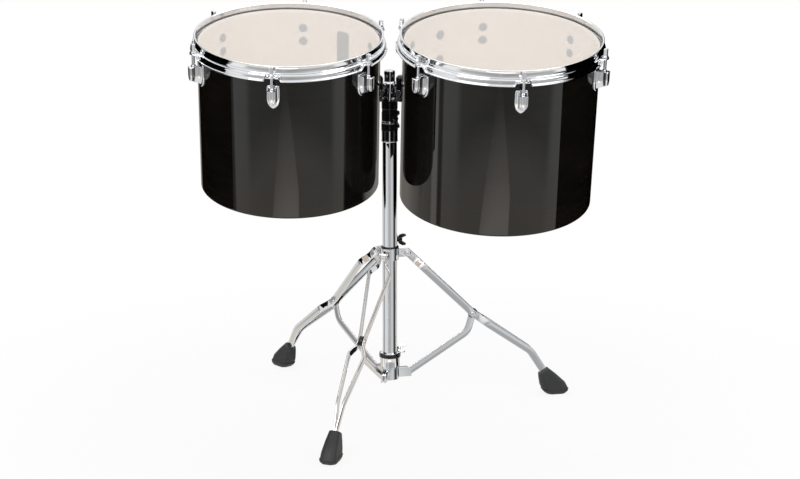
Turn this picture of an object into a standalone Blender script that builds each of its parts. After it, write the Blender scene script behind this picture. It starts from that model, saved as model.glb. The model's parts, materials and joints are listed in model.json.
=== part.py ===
"""Two single-headed concert toms on one folding double tom stand, in metres, +Z up."""
from collections import namedtuple
from math import cos, pi, radians, sin, tan

import bmesh
import bpy
from mathutils import Matrix, Quaternion, Vector

MM = 0.001
INCH = 25.4 * MM

# Clearances
SEAT_GAP = 0.3 * MM
RUNNING_GAP = 0.4 * MM
HOLE_GAP = 0.6 * MM
MERGE = 0.001 * MM
CUT_MARGIN = 5.0 * MM
WELD = 1.0 * MM

# How finely round shapes are faceted
DRUM_STEPS = 36
HOOP_SPANS = 5
TUBE_STEPS = 18
BLOCK_STEPS = 16
BORE_STEPS = 10
SMALL_STEPS = 8
FINE_STEPS = 6

# Stand tubes
TUBE_RADIUS = 14.3 * MM
TUBE_WALL = 1.2 * MM
TUBE_TOP = 580.3 * MM
COLLAR_RADIUS = 16.4 * MM
COLLAR_HEIGHT = 40.7 * MM
POST_WALL = 1.4 * MM
POST_LENGTH = 350.0 * MM
CLAMP_RADIUS = 15.8 * MM
CLAMP_HEIGHT = 40.1 * MM
KNOB_RISE = 7.0 * MM
KNOB_AZIMUTH = radians(-65)
KNOB_SPAN = 35.0 * MM

# Folding base
LEG_COUNT = 3
FIRST_LEG_AZIMUTH = radians(7)
HUB_PIVOT = Vector((36.0 * MM, 314.0 * MM))
MIDDLE_PIVOT = Vector((170.5 * MM, 180.7 * MM))
LEG_BEND = Vector((291.5 * MM, 94.8 * MM))
LEG_BEND_RADIUS = 45.0 * MM
FOOT_ENTRY = Vector((321.0 * MM, 49.0 * MM))
BRACE_PIVOT = Vector((34.6 * MM, 63.5 * MM))
BRACE_KNEE = Vector((160.0 * MM, 142.5 * MM))
BRACE_KNEE_RADIUS = 28.0 * MM
STRIP_WIDTH = 15.0 * MM
STRIP_THICKNESS = 3.0 * MM
HUB_SPREAD = 7.5 * MM
UPPER_SPREAD = 22.0 * MM
MIDDLE_SPREAD = 5.5 * MM
LOWER_SPREAD = 16.5 * MM
FOOT_SPREAD = 1.6 * MM
HUB_FLAT = 19.0 * MM
HUB_BEND = 18.0 * MM
MIDDLE_FLAT = 10.0 * MM
MIDDLE_BEND = 23.0 * MM
PIN_RADIUS = 3.0 * MM
RIVET_HEAD_RADIUS = 5.2 * MM
RIVET_HEAD_HEIGHT = 1.6 * MM
BUSH_RADIUS = 9.5 * MM
HUB_HEIGHT = 24.0 * MM
HUB_WALL = 3.5 * MM
HUB_WING_SPAN = 24.0 * MM
HUB_BOLT_RISE = 12.5 * MM
LOWER_HUB_BOTTOM = 55.0 * MM
LOWER_HUB_HEIGHT = 23.0 * MM
LOWER_HUB_FLOOR = 3.0 * MM
LOWER_CLAMP_HEIGHT = 31.0 * MM
LOWER_CLAMP_WALL = 5.0 * MM
LOWER_WING_SPAN = 20.0 * MM
LOWER_BOLT_RISE = 2.5 * MM
EAR_AZIMUTH = radians(67)
EAR_REACH = 24.0 * MM
EAR_SPLIT = 2.0 * MM
EAR_THICKNESS = 5.5 * MM
EAR_MARGIN = 6.5 * MM
FOOT_HEEL = 3.0 * MM
FOOT_LENGTH = 56.0 * MM
FOOT_WIDTH = 34.0 * MM
SOLE_HEIGHT = 10.0 * MM
NECK_WIDTH = 22.0 * MM
NECK_LIP = 4.0 * MM
FOOT_INSERT = 16.0 * MM

# Double tom holder
ARM_REACH = 34.0 * MM
ARM_WIDTH = 22.0 * MM
ARM_THICKNESS = 6.4 * MM
HEAD_RADIUS = 14.0 * MM
HEAD_HEIGHT = 33.0 * MM
CAP_RADIUS = 10.5 * MM
CAP_HEIGHT = 25.0 * MM
SWIVEL_PIN_RADIUS = 5.0 * MM
SWIVEL_PIN_HEIGHT = 6.0 * MM
TILTER_RADIUS = 15.0 * MM
TILTER_HEIGHT = 43.7 * MM
ROD_RADIUS = 6.35 * MM
ROD_ABOVE_TILTER_FOOT = 23.7 * MM
CROSS_BOLT_ABOVE_FOOT = 10.7 * MM
ROD_BEND_RADIUS = 18.0 * MM
ROD_INNER_OVERHANG = 17.0 * MM
ROD_TOP_OVERHANG = 50.0 * MM
LOCK_RADIUS = 12.0 * MM
LOCK_HEIGHT = 12.0 * MM

# Wing bolts
BOLT_RADIUS = 3.0 * MM
BOLT_HUB_RADIUS = 6.0 * MM
BOLT_HUB_LENGTH = 9.0 * MM
WING_SPAN = 30.0 * MM
WING_THICKNESS = 3.6 * MM
CROSS_BOLT_HEAD_RADIUS = 6.8 * MM

# Drums
TILT = radians(12.5)
LUG_COUNT = 6
SHELL_WALL = 6.0 * MM
RIM_ABOVE_EDGE = 12.0 * MM
BEARING_DROP = 3.0 * MM
FILM_THICKNESS = 0.3 * MM
FLESH_HOOP_WIDTH = 5.0 * MM
FLESH_HOOP_HEIGHT = 7.0 * MM
SHEET = 2.3 * MM
ROD_OFFSET = 15.0 * MM
KEY_ROD_RADIUS = 2.8 * MM
KEY_ROD_END = 61.0 * MM
KEY_HEAD_TOP = 2.0 * MM
KEY_HEAD_HALF = 3.5 * MM
WASHER_RADIUS = 6.25 * MM
TAB_LEVEL = 16.0 * MM
TAB_HALF_WIDTH = 9.5 * MM
TAB_FLARE = 6.0 * MM
TAB_REACH = 21.5 * MM
HOOP_STANDOFF = 3.2 * MM
SKIRT_STANDOFF = 8.0 * MM
SKIRT_LIP = 3.0 * MM
SKIRT_LEVEL = 23.8 * MM
LUG_TOP = 40.5 * MM
LUG_TIP = 65.5 * MM
LUG_HEEL = 76.0 * MM
LUG_HALF_WIDTH = 7.4 * MM
LUG_WAIST = 5.1 * MM
LUG_REACH = 24.5 * MM
LUG_RIDGE = 1.2 * MM
PLATE_TOP = 36.7 * MM
PLATE_BOTTOM = 81.0 * MM
PLATE_HALF_WIDTH = 11.75 * MM
PLATE_THICKNESS = 3.0 * MM
BRACKET_DEPTH = 74.0 * MM
BRACKET_STANDOFF = 26.0 * MM
BRACKET_WIDTH = 36.0 * MM
BRACKET_HEIGHT = 74.0 * MM
BRACKET_PLATE = 5.0 * MM
BOSS_RADIUS = 13.0 * MM
BOSS_HEIGHT = 46.0 * MM

# The two drums; reach and rise lead along the L-rod from the post's axis to the bracket
SMALL_SHELL_RADIUS = 6.5 * INCH
SMALL_SHELL_DEPTH = 11.0 * INCH
SMALL_DRUM_REACH = 86.1 * MM
SMALL_DRUM_RISE = 90.7 * MM
LARGE_SHELL_RADIUS = 7.0 * INCH
LARGE_SHELL_DEPTH = 12.0 * INCH
LARGE_DRUM_REACH = 90.8 * MM
LARGE_DRUM_RISE = 94.6 * MM

Drum = namedtuple("Drum", "side radius depth lug_azimuth arm_azimuth reach rise bracket_azimuth wing_side")
DRUMS = (
    Drum("left", SMALL_SHELL_RADIUS, SMALL_SHELL_DEPTH, radians(-101.3), radians(-148.2),
         SMALL_DRUM_REACH, SMALL_DRUM_RISE, radians(48.7), -1),
    Drum("right", LARGE_SHELL_RADIUS, LARGE_SHELL_DEPTH, radians(-86.3), radians(-41.5),
         LARGE_DRUM_REACH, LARGE_DRUM_RISE, radians(123.7), 1),
)

# Heights that follow from the sizes above
POST_RADIUS = TUBE_RADIUS - TUBE_WALL - RUNNING_GAP
CLAMP_BOTTOM = TUBE_TOP + SEAT_GAP
CLAMP_TOP = CLAMP_BOTTOM + CLAMP_HEIGHT
HEAD_BOTTOM = CLAMP_TOP + SEAT_GAP
ARM_BOTTOM = HEAD_BOTTOM + 2 * SEAT_GAP
ARM_TOP = ARM_BOTTOM + ARM_THICKNESS
TILTER_FOOT = ARM_TOP + SEAT_GAP
HUB_BOTTOM = HUB_PIVOT.y - HUB_HEIGHT / 2 - 0.5 * MM
HUB_TOP = HUB_BOTTOM + HUB_HEIGHT
LOWER_CLAMP_BOTTOM = LOWER_HUB_BOTTOM + LOWER_HUB_HEIGHT + 2 * SEAT_GAP
LOWER_CLAMP_TOP = LOWER_CLAMP_BOTTOM + LOWER_CLAMP_HEIGHT
EAR_SIDE = EAR_SPLIT / 2 + EAR_THICKNESS


def clear_scene():
    """Start from an empty scene."""
    for old in list(bpy.data.objects):
        bpy.data.objects.remove(old, do_unlink=True)


def finish(name, color, roughness, metallic):
    """A Principled BSDF material."""
    material = bpy.data.materials.new(name)
    material.use_nodes = True
    shader = material.node_tree.nodes["Principled BSDF"]
    shader.inputs["Base Color"].default_value = (*color, 1.0)
    shader.inputs["Roughness"].default_value = roughness
    shader.inputs["Metallic"].default_value = metallic
    return material


def to_mesh(bm):
    """Close up a bmesh, turn its faces outwards and hand it over as mesh data."""
    bmesh.ops.remove_doubles(bm, verts=bm.verts, dist=MERGE)
    bmesh.ops.recalc_face_normals(bm, faces=bm.faces)
    mesh = bpy.data.meshes.new("shape")
    bm.to_mesh(mesh)
    bm.free()
    return mesh


def turned(profile, steps=TUBE_STEPS, frame=Matrix()):
    """Revolve a (radius, height) section about Z, closed unless both its ends lie on the axis."""
    bm = bmesh.new()
    points = [bm.verts.new((radius, 0.0, height)) for radius, height in profile]
    edges = [bm.edges.new(pair) for pair in zip(points, points[1:])]
    if profile[0][0] > 0:
        edges.append(bm.edges.new((points[-1], points[0])))
    bmesh.ops.spin(bm, geom=points + edges, cent=(0, 0, 0), axis=(0, 0, 1),
                   angle=2 * pi, steps=steps, use_merge=True)
    bmesh.ops.transform(bm, matrix=frame, verts=bm.verts)
    return to_mesh(bm)


def loft(loops, ring=False):
    """Skin a row of equal loops; a ring meets its start again, otherwise both ends are capped."""
    bm = bmesh.new()
    rows = [[bm.verts.new(point) for point in loop] for loop in loops]
    pairs = list(zip(rows, rows[1:]))
    if ring:
        pairs.append((rows[-1], rows[0]))
    for low, high in pairs:
        for corners in zip(low, low[1:] + low[:1], high[1:] + high[:1], high):
            bm.faces.new(corners)
    if not ring:
        bm.faces.new(rows[0])
        bm.faces.new(rows[-1])
    return to_mesh(bm)


def prism(outline, bottom, top, frame=Matrix()):
    """Extrude an XY outline along Z."""
    mesh = loft([[(x, y, level) for x, y in outline] for level in (bottom, top)])
    mesh.transform(frame)
    return mesh


def side_prism(outline, half_width):
    """Extrude an XZ outline to both sides along Y."""
    return loft([[(x, side * half_width, z) for x, z in outline] for side in (-1, 1)])


def round_bar(radius, bottom, top, frame=Matrix(), steps=SMALL_STEPS):
    """A plain cylinder along Z."""
    return turned([(0, bottom), (radius, bottom), (radius, top), (0, top)], steps, frame)


def box(low, high, frame=Matrix()):
    """A block between two corners."""
    outline = [(low[0], low[1]), (high[0], low[1]), (high[0], high[1]), (low[0], high[1])]
    return prism(outline, low[2], high[2], frame)


def gathered(meshes):
    """Several separate solids as one mesh, for one cut."""
    bm = bmesh.new()
    for mesh in meshes:
        bm.from_mesh(mesh)
    return to_mesh(bm)


def combined(operation, base, *tools):
    """Boolean of one mesh with each tool in turn."""
    body = bpy.data.objects.new("body", base)
    bpy.context.scene.collection.objects.link(body)
    helpers = [bpy.data.objects.new("tool", tool) for tool in tools]
    for helper in helpers:
        bpy.context.scene.collection.objects.link(helper)
        helper.hide_render = True
        helper.display_type = "WIRE"
        modifier = body.modifiers.new("boolean", "BOOLEAN")
        modifier.operation = operation
        modifier.solver = "EXACT"
        modifier.object = helper
    bpy.context.view_layer.update()
    evaluated = body.evaluated_get(bpy.context.evaluated_depsgraph_get())
    result = bpy.data.meshes.new_from_object(evaluated)
    for helper in helpers + [body]:
        bpy.data.objects.remove(helper, do_unlink=True)
    return result


def empty(name, parent, frame=Matrix()):
    """An empty on a joint's axis, which carries the pieces of one body."""
    joint = bpy.data.objects.new(name, None)
    joint.empty_display_size = 20 * MM
    bpy.context.scene.collection.objects.link(joint)
    joint.parent = parent
    joint.matrix_basis = frame
    return joint


def place(name, mesh, material, parent, frame=Matrix()):
    """A named piece with its finish, under the empty that carries it."""
    if not mesh.materials:
        mesh.materials.append(material)
    mesh.shade_smooth()
    mesh.set_sharp_from_angle(angle=radians(35))
    piece = bpy.data.objects.new(name, mesh)
    bpy.context.scene.collection.objects.link(piece)
    piece.parent = parent
    piece.matrix_basis = frame
    return piece


def around(azimuth, radius=0.0, height=0.0):
    """A frame turned about Z and then moved outwards, its X axis pointing away from the centre."""
    return Matrix.Rotation(azimuth, 4, "Z") @ Matrix.Translation((radius, 0, height))


def along(origin, direction):
    """A frame at a point, its Z axis along a direction."""
    turn = Vector(direction).to_track_quat("Z", "Y").to_matrix().to_4x4()
    return Matrix.Translation(origin) @ turn


def rounded_path(corners, radius, pieces):
    """The points of a polyline whose inner corners are arcs of one radius."""
    path = [corners[0]]
    for before, corner, after in zip(corners, corners[1:], corners[2:]):
        arriving = (corner - before).normalized()
        leaving = (after - corner).normalized()
        turn = arriving.angle(leaving)
        centre = corner + (leaving - arriving).normalized() * radius / cos(turn / 2)
        arm = corner - arriving * radius * tan(turn / 2) - centre
        axis = arriving.cross(leaving)
        for step in range(pieces + 1):
            path.append(centre + Quaternion(axis, turn * step / pieces) @ arm)
    path.append(corners[-1])
    return path


def walk(path, distance):
    """The point and the direction at a distance along a path."""
    left = distance
    for start, end in zip(path, path[1:]):
        length = (end - start).length
        direction = (end - start).normalized()
        if left <= length:
            break
        left -= length
    else:
        left += length
    return start + direction * left, direction


def plane(point):
    """A (radius, height) pair of the stand's upright plane as a 3-D point."""
    return Vector((point[0], 0.0, point[1]))


def path_length(path):
    """The length of a path."""
    return sum((end - start).length for start, end in zip(path, path[1:]))


def strip(path, stations, side=1.0):
    """A flat bar on edge along a path; each station is a distance and a sideways offset."""
    loops = []
    for distance, offset in stations:
        point, direction = walk(path, distance)
        across = Vector((-direction.z, 0.0, direction.x)) * STRIP_WIDTH / 2
        inner = Vector((0.0, side * offset - STRIP_THICKNESS / 2, 0.0))
        outer = Vector((0.0, side * offset + STRIP_THICKNESS / 2, 0.0))
        loops.append([point - across + inner, point + across + inner,
                      point + across + outer, point - across + outer])
    return loft(loops)


def thickened(line, thickness):
    """The closed outline of a sheet whose middle follows a line in a plane."""
    points = [Vector(point) for point in line]
    normals = []
    for start, end in zip(points, points[1:]):
        run = (end - start).normalized()
        normals.append(Vector((-run.y, run.x)))
    offsets = [normals[0]]
    for first, second in zip(normals, normals[1:]):
        middle = (first + second).normalized()
        offsets.append(middle / middle.dot(first))
    offsets.append(normals[-1])
    one_side = [point + offset * thickness / 2 for point, offset in zip(points, offsets)]
    other_side = [point - offset * thickness / 2 for point, offset in zip(points, offsets)]
    return one_side + other_side[::-1]


def wing_bolt(reach, span=WING_SPAN, disc=0.0):
    """A wing bolt along Z with its tip at the origin and its hub at the given reach."""
    hub_top = reach + BOLT_HUB_LENGTH
    profile = [(0, 0), (BOLT_RADIUS, 0), (BOLT_RADIUS, reach), (BOLT_HUB_RADIUS, reach),
               (BOLT_HUB_RADIUS * 0.8, hub_top), (0, hub_top)]
    if disc:
        profile[:2] = [(0, -BOLT_RADIUS), (disc, -BOLT_RADIUS), (disc, 0), (BOLT_RADIUS, 0)]
    half = span / 2
    right = [(BOLT_HUB_RADIUS * 0.5, reach + 2 * MM), (half * 0.75, reach + 5 * MM),
             (half, reach + 12 * MM), (half * 0.93, reach + 18 * MM), (half * 0.62, reach + 19 * MM),
             (half * 0.3, reach + 11 * MM)]
    outline = right + [(-x, z) for x, z in reversed(right)]
    wings = side_prism(outline, WING_THICKNESS / 2)
    return combined("UNION", turned(profile, SMALL_STEPS), wings)


def clamp_ears(bottom, bolt_level):
    """The block that becomes the two ears of a split clamp, and the cuts that make them of it."""
    top = bolt_level + EAR_MARGIN
    outer = EAR_REACH + EAR_MARGIN
    block = box((TUBE_RADIUS + WELD, -EAR_SIDE, bottom), (outer, EAR_SIDE, top))
    split = box((TUBE_RADIUS - CUT_MARGIN, -EAR_SPLIT / 2, bottom - CUT_MARGIN),
                (outer + CUT_MARGIN, EAR_SPLIT / 2, top + CUT_MARGIN))
    hole = round_bar(BOLT_RADIUS + HOLE_GAP, -EAR_SIDE - CUT_MARGIN, EAR_SIDE + CUT_MARGIN,
                     along((EAR_REACH, 0, bolt_level), (0, -1, 0)), FINE_STEPS)
    for piece in (block, split, hole):
        piece.transform(around(EAR_AZIMUTH))
    return block, [split, hole]


def ear_bolt(span):
    """The wing bolt that draws two clamp ears together, its wing clear of them."""
    return wing_bolt(2 * EAR_SIDE + 2 * SEAT_GAP, span, BOLT_HUB_RADIUS)


def ear_bolt_frame(level, turn):
    """Where an ear bolt sits: its axis runs through both ears, the wing on the viewer's right."""
    start = Vector((EAR_REACH, EAR_SIDE + SEAT_GAP, level))
    return around(EAR_AZIMUTH) @ along(start, (0, -1, 0)) @ Matrix.Rotation(turn, 4, "Z")


def base_tube():
    """The lower tube with its pressed collar."""
    inner = TUBE_RADIUS - TUBE_WALL
    bottom = LOWER_HUB_BOTTOM + LOWER_HUB_FLOOR
    collar = TUBE_TOP - COLLAR_HEIGHT
    seam = TUBE_TOP - COLLAR_HEIGHT * 0.47
    groove = 0.8 * MM
    return turned([(TUBE_RADIUS, bottom), (TUBE_RADIUS, collar), (COLLAR_RADIUS, collar),
                   (COLLAR_RADIUS, seam - groove), (COLLAR_RADIUS - groove, seam),
                   (COLLAR_RADIUS, seam + groove), (COLLAR_RADIUS, TUBE_TOP), (inner, TUBE_TOP),
                   (inner, bottom)])


def height_clamp():
    """The clamp sleeve on top of the base tube, with the knob's threaded hole."""
    inner = POST_RADIUS + RUNNING_GAP
    waist = CLAMP_BOTTOM + CLAMP_HEIGHT * 0.5
    step = 0.6 * MM
    sleeve = turned([(CLAMP_RADIUS, CLAMP_BOTTOM), (CLAMP_RADIUS, waist - 3 * MM),
                     (CLAMP_RADIUS - step, waist - 3 * MM), (CLAMP_RADIUS - step, waist + 3 * MM),
                     (CLAMP_RADIUS, waist + 3 * MM), (CLAMP_RADIUS, CLAMP_TOP), (inner, CLAMP_TOP),
                     (inner, CLAMP_BOTTOM)])
    level = CLAMP_BOTTOM + KNOB_RISE
    direction = (cos(KNOB_AZIMUTH), sin(KNOB_AZIMUTH), 0)
    hole = round_bar(BOLT_RADIUS + HOLE_GAP, 0, 2 * CLAMP_RADIUS, along((0, 0, level), direction),
                     FINE_STEPS)
    return combined("DIFFERENCE", sleeve, hole)


def holder_post():
    """The inner tube with the holder's head, its two arms and their swivel pins."""
    head_top = HEAD_BOTTOM + HEAD_HEIGHT
    cap_top = head_top + CAP_HEIGHT
    bottom = HEAD_BOTTOM - POST_LENGTH
    bore = POST_RADIUS - POST_WALL
    post = turned([(0, cap_top), (CAP_RADIUS - 1 * MM, cap_top), (CAP_RADIUS, cap_top - 1 * MM),
                   (CAP_RADIUS, head_top + 3.5 * MM), (HEAD_RADIUS, head_top),
                   (HEAD_RADIUS, HEAD_BOTTOM), (POST_RADIUS, HEAD_BOTTOM), (POST_RADIUS, bottom),
                   (bore, bottom), (bore, HEAD_BOTTOM + 20 * MM), (0, HEAD_BOTTOM + 20 * MM)])
    additions = []
    for drum in DRUMS:
        reach = [(ARM_REACH + cos(turn) * ARM_WIDTH / 2, sin(turn) * ARM_WIDTH / 2)
                 for turn in (radians(-90 + 22.5 * step) for step in range(9))]
        start = bore + POST_WALL
        outline = reach + [(start, ARM_WIDTH / 2), (start, -ARM_WIDTH / 2)]
        additions.append(prism(outline, ARM_BOTTOM, ARM_TOP, around(drum.arm_azimuth)))
        additions.append(round_bar(SWIVEL_PIN_RADIUS, ARM_BOTTOM + 2 * MM, ARM_TOP + SWIVEL_PIN_HEIGHT,
                                   around(drum.arm_azimuth, ARM_REACH)))
    return combined("UNION", post, *additions)


def leg_hub():
    """The sliding hub: a split ring with three tongues for the legs."""
    inner = TUBE_RADIUS + RUNNING_GAP
    outer = inner + HUB_WALL
    ring = turned([(outer, HUB_BOTTOM), (outer, HUB_TOP), (inner, HUB_TOP), (inner, HUB_BOTTOM)])
    half = HUB_SPREAD - STRIP_THICKNESS / 2 - RUNNING_GAP
    ears, cuts = clamp_ears(HUB_BOTTOM, HUB_TOP + HUB_BOLT_RISE)
    parts = [ears]
    end = STRIP_WIDTH / 2
    for number in range(LEG_COUNT):
        azimuth = leg_azimuth(number)
        arc = [(HUB_PIVOT.x + end * cos(turn), HUB_PIVOT.y + end * sin(turn))
               for turn in (radians(-90 + 30 * step) for step in range(7))]
        outline = arc + [(inner + WELD, HUB_PIVOT.y + end), (inner + WELD, HUB_PIVOT.y - end)]
        tongue = side_prism(outline, half)
        tongue.transform(around(azimuth))
        parts.append(tongue)
        pivot = along(plane(HUB_PIVOT), (0, 1, 0))
        cuts.append(round_bar(PIN_RADIUS + HOLE_GAP, -EAR_REACH, EAR_REACH, around(azimuth) @ pivot))
    return combined("DIFFERENCE", combined("UNION", ring, *parts), *cuts)


def lower_hub():
    """The cup at the foot of the tube with three clevises and their pins."""
    inner = TUBE_RADIUS + SEAT_GAP
    outer = inner + HUB_WALL
    top = LOWER_HUB_BOTTOM + LOWER_HUB_HEIGHT
    floor = LOWER_HUB_BOTTOM + LOWER_HUB_FLOOR - SEAT_GAP
    cup = turned([(0, LOWER_HUB_BOTTOM), (outer, LOWER_HUB_BOTTOM), (outer, top), (inner, top),
                  (inner, floor), (0, floor)])
    half = STRIP_THICKNESS / 2 + RUNNING_GAP
    ear = STRIP_THICKNESS
    reach = BRACE_PIVOT.x + RIVET_HEAD_RADIUS + HUB_WALL
    low = LOWER_HUB_BOTTOM + 2 * WELD
    outline = [(inner + WELD, low), (reach, low), (reach, top - 6 * WELD), (BRACE_PIVOT.x, top - WELD),
               (inner + WELD, top - WELD)]
    parts = []
    for number in range(LEG_COUNT):
        for side in (-1, 1):
            plate = side_prism(outline, ear / 2)
            plate.transform(Matrix.Translation((0, side * (half + ear / 2), 0)))
            plate.transform(around(leg_azimuth(number)))
            parts.append(plate)
        pin_half = half + ear - WELD / 2
        pivot = along(plane(BRACE_PIVOT), (0, 1, 0))
        parts.append(round_bar(PIN_RADIUS, -pin_half, pin_half, around(leg_azimuth(number)) @ pivot))
    return combined("UNION", cup, *parts)


def lower_clamp():
    """The split clamp that holds the lower hub, with a rounded top rim."""
    inner = TUBE_RADIUS + SEAT_GAP
    outer = inner + LOWER_CLAMP_WALL
    rim = LOWER_CLAMP_BOTTOM + LOWER_CLAMP_HEIGHT * 0.74
    top = LOWER_CLAMP_TOP
    lip = 0.8 * MM
    ring = turned([(outer, LOWER_CLAMP_BOTTOM), (outer, rim), (outer + lip, rim + 2 * lip),
                   (outer + lip, top - 2 * lip), (outer - lip, top), (inner, top),
                   (inner, LOWER_CLAMP_BOTTOM)])
    ears, cuts = clamp_ears(LOWER_CLAMP_BOTTOM, top + LOWER_BOLT_RISE)
    return combined("DIFFERENCE", combined("UNION", ring, ears), *cuts)


def leg_azimuth(number):
    """The direction of one leg."""
    return FIRST_LEG_AZIMUTH + number * 2 * pi / LEG_COUNT


def leg():
    """Two bent flat bars, riveted round the hub's tongue and joined again in the foot."""
    end = FOOT_ENTRY + (FOOT_ENTRY - LEG_BEND).normalized() * (FOOT_INSERT - SEAT_GAP)
    path = rounded_path([plane(HUB_PIVOT), plane(MIDDLE_PIVOT), plane(LEG_BEND), plane(end)],
                        LEG_BEND_RADIUS, 3)
    middle = (MIDDLE_PIVOT - HUB_PIVOT).length
    spread_end = middle + MIDDLE_FLAT + MIDDLE_BEND
    mouth = path_length(path) - FOOT_INSERT
    stations = [(-STRIP_WIDTH / 2, HUB_SPREAD), (HUB_FLAT, HUB_SPREAD), (HUB_FLAT + HUB_BEND, UPPER_SPREAD),
                (middle - MIDDLE_FLAT, MIDDLE_SPREAD), (middle + MIDDLE_FLAT, MIDDLE_SPREAD),
                (middle + MIDDLE_FLAT + MIDDLE_BEND * 0.35, MIDDLE_SPREAD + WELD),
                (spread_end, LOWER_SPREAD)]
    for share in (0.35, 0.6, 0.72, 0.84):
        stations.append((spread_end + (mouth - spread_end) * share,
                         LOWER_SPREAD + (FOOT_SPREAD - LOWER_SPREAD) * share))
    stations += [(mouth, FOOT_SPREAD), (mouth + FOOT_INSERT, FOOT_SPREAD)]
    bars = [strip(path, stations, side) for side in (-1, 1)]
    hub_head = rivet_head(HUB_SPREAD + STRIP_THICKNESS / 2)
    upper_half = [(PIN_RADIUS, hub_head[0][1])] + hub_head
    lower_half = [(radius, -height) for radius, height in reversed(upper_half)]
    hub_rivet = turned(lower_half + upper_half, SMALL_STEPS, along(plane(HUB_PIVOT), (0, 1, 0)))
    middle_head = rivet_head(MIDDLE_SPREAD + STRIP_THICKNESS / 2)
    heads = [turned([(0, middle_head[0][1])] + middle_head, FINE_STEPS,
                    along(plane(MIDDLE_PIVOT), (0, side, 0))) for side in (-1, 1)]
    return combined("UNION", bars[0], bars[1], hub_rivet, *heads)


def rivet_head(outside):
    """The section of a rivet's head that stands on a face at a height along the rivet."""
    sunk = outside - RIVET_HEAD_HEIGHT / 4
    top = outside + RIVET_HEAD_HEIGHT
    return [(RIVET_HEAD_RADIUS, sunk), (RIVET_HEAD_RADIUS, outside + RIVET_HEAD_HEIGHT * 0.4),
            (RIVET_HEAD_RADIUS * 0.7, top), (0, top)]


def brace():
    """A single flat bar from the lower hub up to the bush between a leg's bars."""
    path = rounded_path([plane(BRACE_PIVOT), plane(BRACE_KNEE), plane(MIDDLE_PIVOT)],
                        BRACE_KNEE_RADIUS, 4)
    whole = path_length(path)
    knee = (BRACE_KNEE - BRACE_PIVOT).length
    half_bend = BRACE_KNEE_RADIUS * 0.6
    bends = [knee + half_bend * share for share in (-1.4, -0.8, -0.3, 0.2, 0.6)]
    bar = strip(path, [(distance, 0.0) for distance in [-STRIP_WIDTH * 0.42] + bends + [whole]])
    half = MIDDLE_SPREAD - STRIP_THICKNESS / 2 - RUNNING_GAP
    bush = round_bar(BUSH_RADIUS, -half, half, along(plane(MIDDLE_PIVOT), (0, 1, 0)), BORE_STEPS)
    hole = round_bar(PIN_RADIUS + HOLE_GAP, -EAR_REACH, EAR_REACH, along(plane(BRACE_PIVOT), (0, 1, 0)))
    return combined("DIFFERENCE", combined("UNION", bar, bush), hole)


def foot():
    """A rubber boot: a banded sole that narrows to a neck round the ends of the leg's bars."""
    entry = (FOOT_ENTRY - LEG_BEND).normalized()
    across = Vector((-entry.y, entry.x))
    neck_half = STRIP_WIDTH / 2 + NECK_LIP
    neck_in = FOOT_ENTRY - across * neck_half
    neck_out = FOOT_ENTRY + across * neck_half
    heel = Vector((FOOT_ENTRY.x - FOOT_HEEL, SOLE_HEIGHT))
    toe = heel + Vector((FOOT_LENGTH, 0))
    wide = FOOT_WIDTH / 2
    band = 1.2 * MM
    sections = ((heel + Vector((10 * MM, -SOLE_HEIGHT)), toe - Vector((6 * MM, SOLE_HEIGHT)),
                 wide - 2 * band),
                (heel + Vector((4 * MM, -SOLE_HEIGHT / 2)), toe - Vector((band, SOLE_HEIGHT / 2)), wide),
                (heel, toe, wide),
                (heel + Vector((band, band / 2)), toe + Vector((-band, band / 2)), wide - band),
                (heel + Vector((-3 * MM, 9 * MM)), toe + Vector((-7 * MM, 12.5 * MM)), wide - 2 * band),
                (neck_in.lerp(heel, 0.3), neck_out.lerp(toe, 0.4), (wide + NECK_WIDTH / 2) / 2 - band),
                (neck_in, neck_out, NECK_WIDTH / 2))
    loops = []
    for back, front, half in sections:
        length = (front - back).length
        run = (front - back) / length
        corner = half * 0.45
        outline = [(0.0, half - corner), (corner, half), (length - corner, half), (length, half - corner)]
        outline += [(reach, -side) for reach, side in reversed(outline)]
        loops.append([plane(back + run * reach) + Vector((0, side, 0)) for reach, side in outline])
    wall_wide = FOOT_SPREAD + STRIP_THICKNESS / 2 + SEAT_GAP
    wall_high = STRIP_WIDTH / 2 + SEAT_GAP
    pocket = box((-wall_wide, -wall_high, -4 * CUT_MARGIN), (wall_wide, wall_high, FOOT_INSERT),
                 along(plane(FOOT_ENTRY), plane(entry)))
    return combined("DIFFERENCE", loft(loops), pocket)


def tilter():
    """The black tilter block: swivel hole below, rod bore across, and a cross bolt's hole."""
    profile = [(0, 0), (TILTER_RADIUS - 1.5 * MM, 0), (TILTER_RADIUS, 2 * MM),
               (TILTER_RADIUS, TILTER_HEIGHT - 5 * MM), (TILTER_RADIUS - 4 * MM, TILTER_HEIGHT),
               (0, TILTER_HEIGHT)]
    block = turned(profile, BLOCK_STEPS, Matrix.Rotation(radians(9), 4, "Z"))
    through = TILTER_RADIUS + CUT_MARGIN
    swivel = round_bar(SWIVEL_PIN_RADIUS + HOLE_GAP, -CUT_MARGIN, SWIVEL_PIN_HEIGHT + SEAT_GAP)
    bore = round_bar(ROD_RADIUS + HOLE_GAP, -through, through,
                     along((0, 0, ROD_ABOVE_TILTER_FOOT), (1, 0, 0)), BORE_STEPS)
    cross = round_bar(BOLT_RADIUS + HOLE_GAP, -through, through,
                      along((0, 0, CROSS_BOLT_ABOVE_FOOT), (0, 1, 0)), SMALL_STEPS)
    return combined("DIFFERENCE", block, gathered([swivel, bore, cross]))


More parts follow.
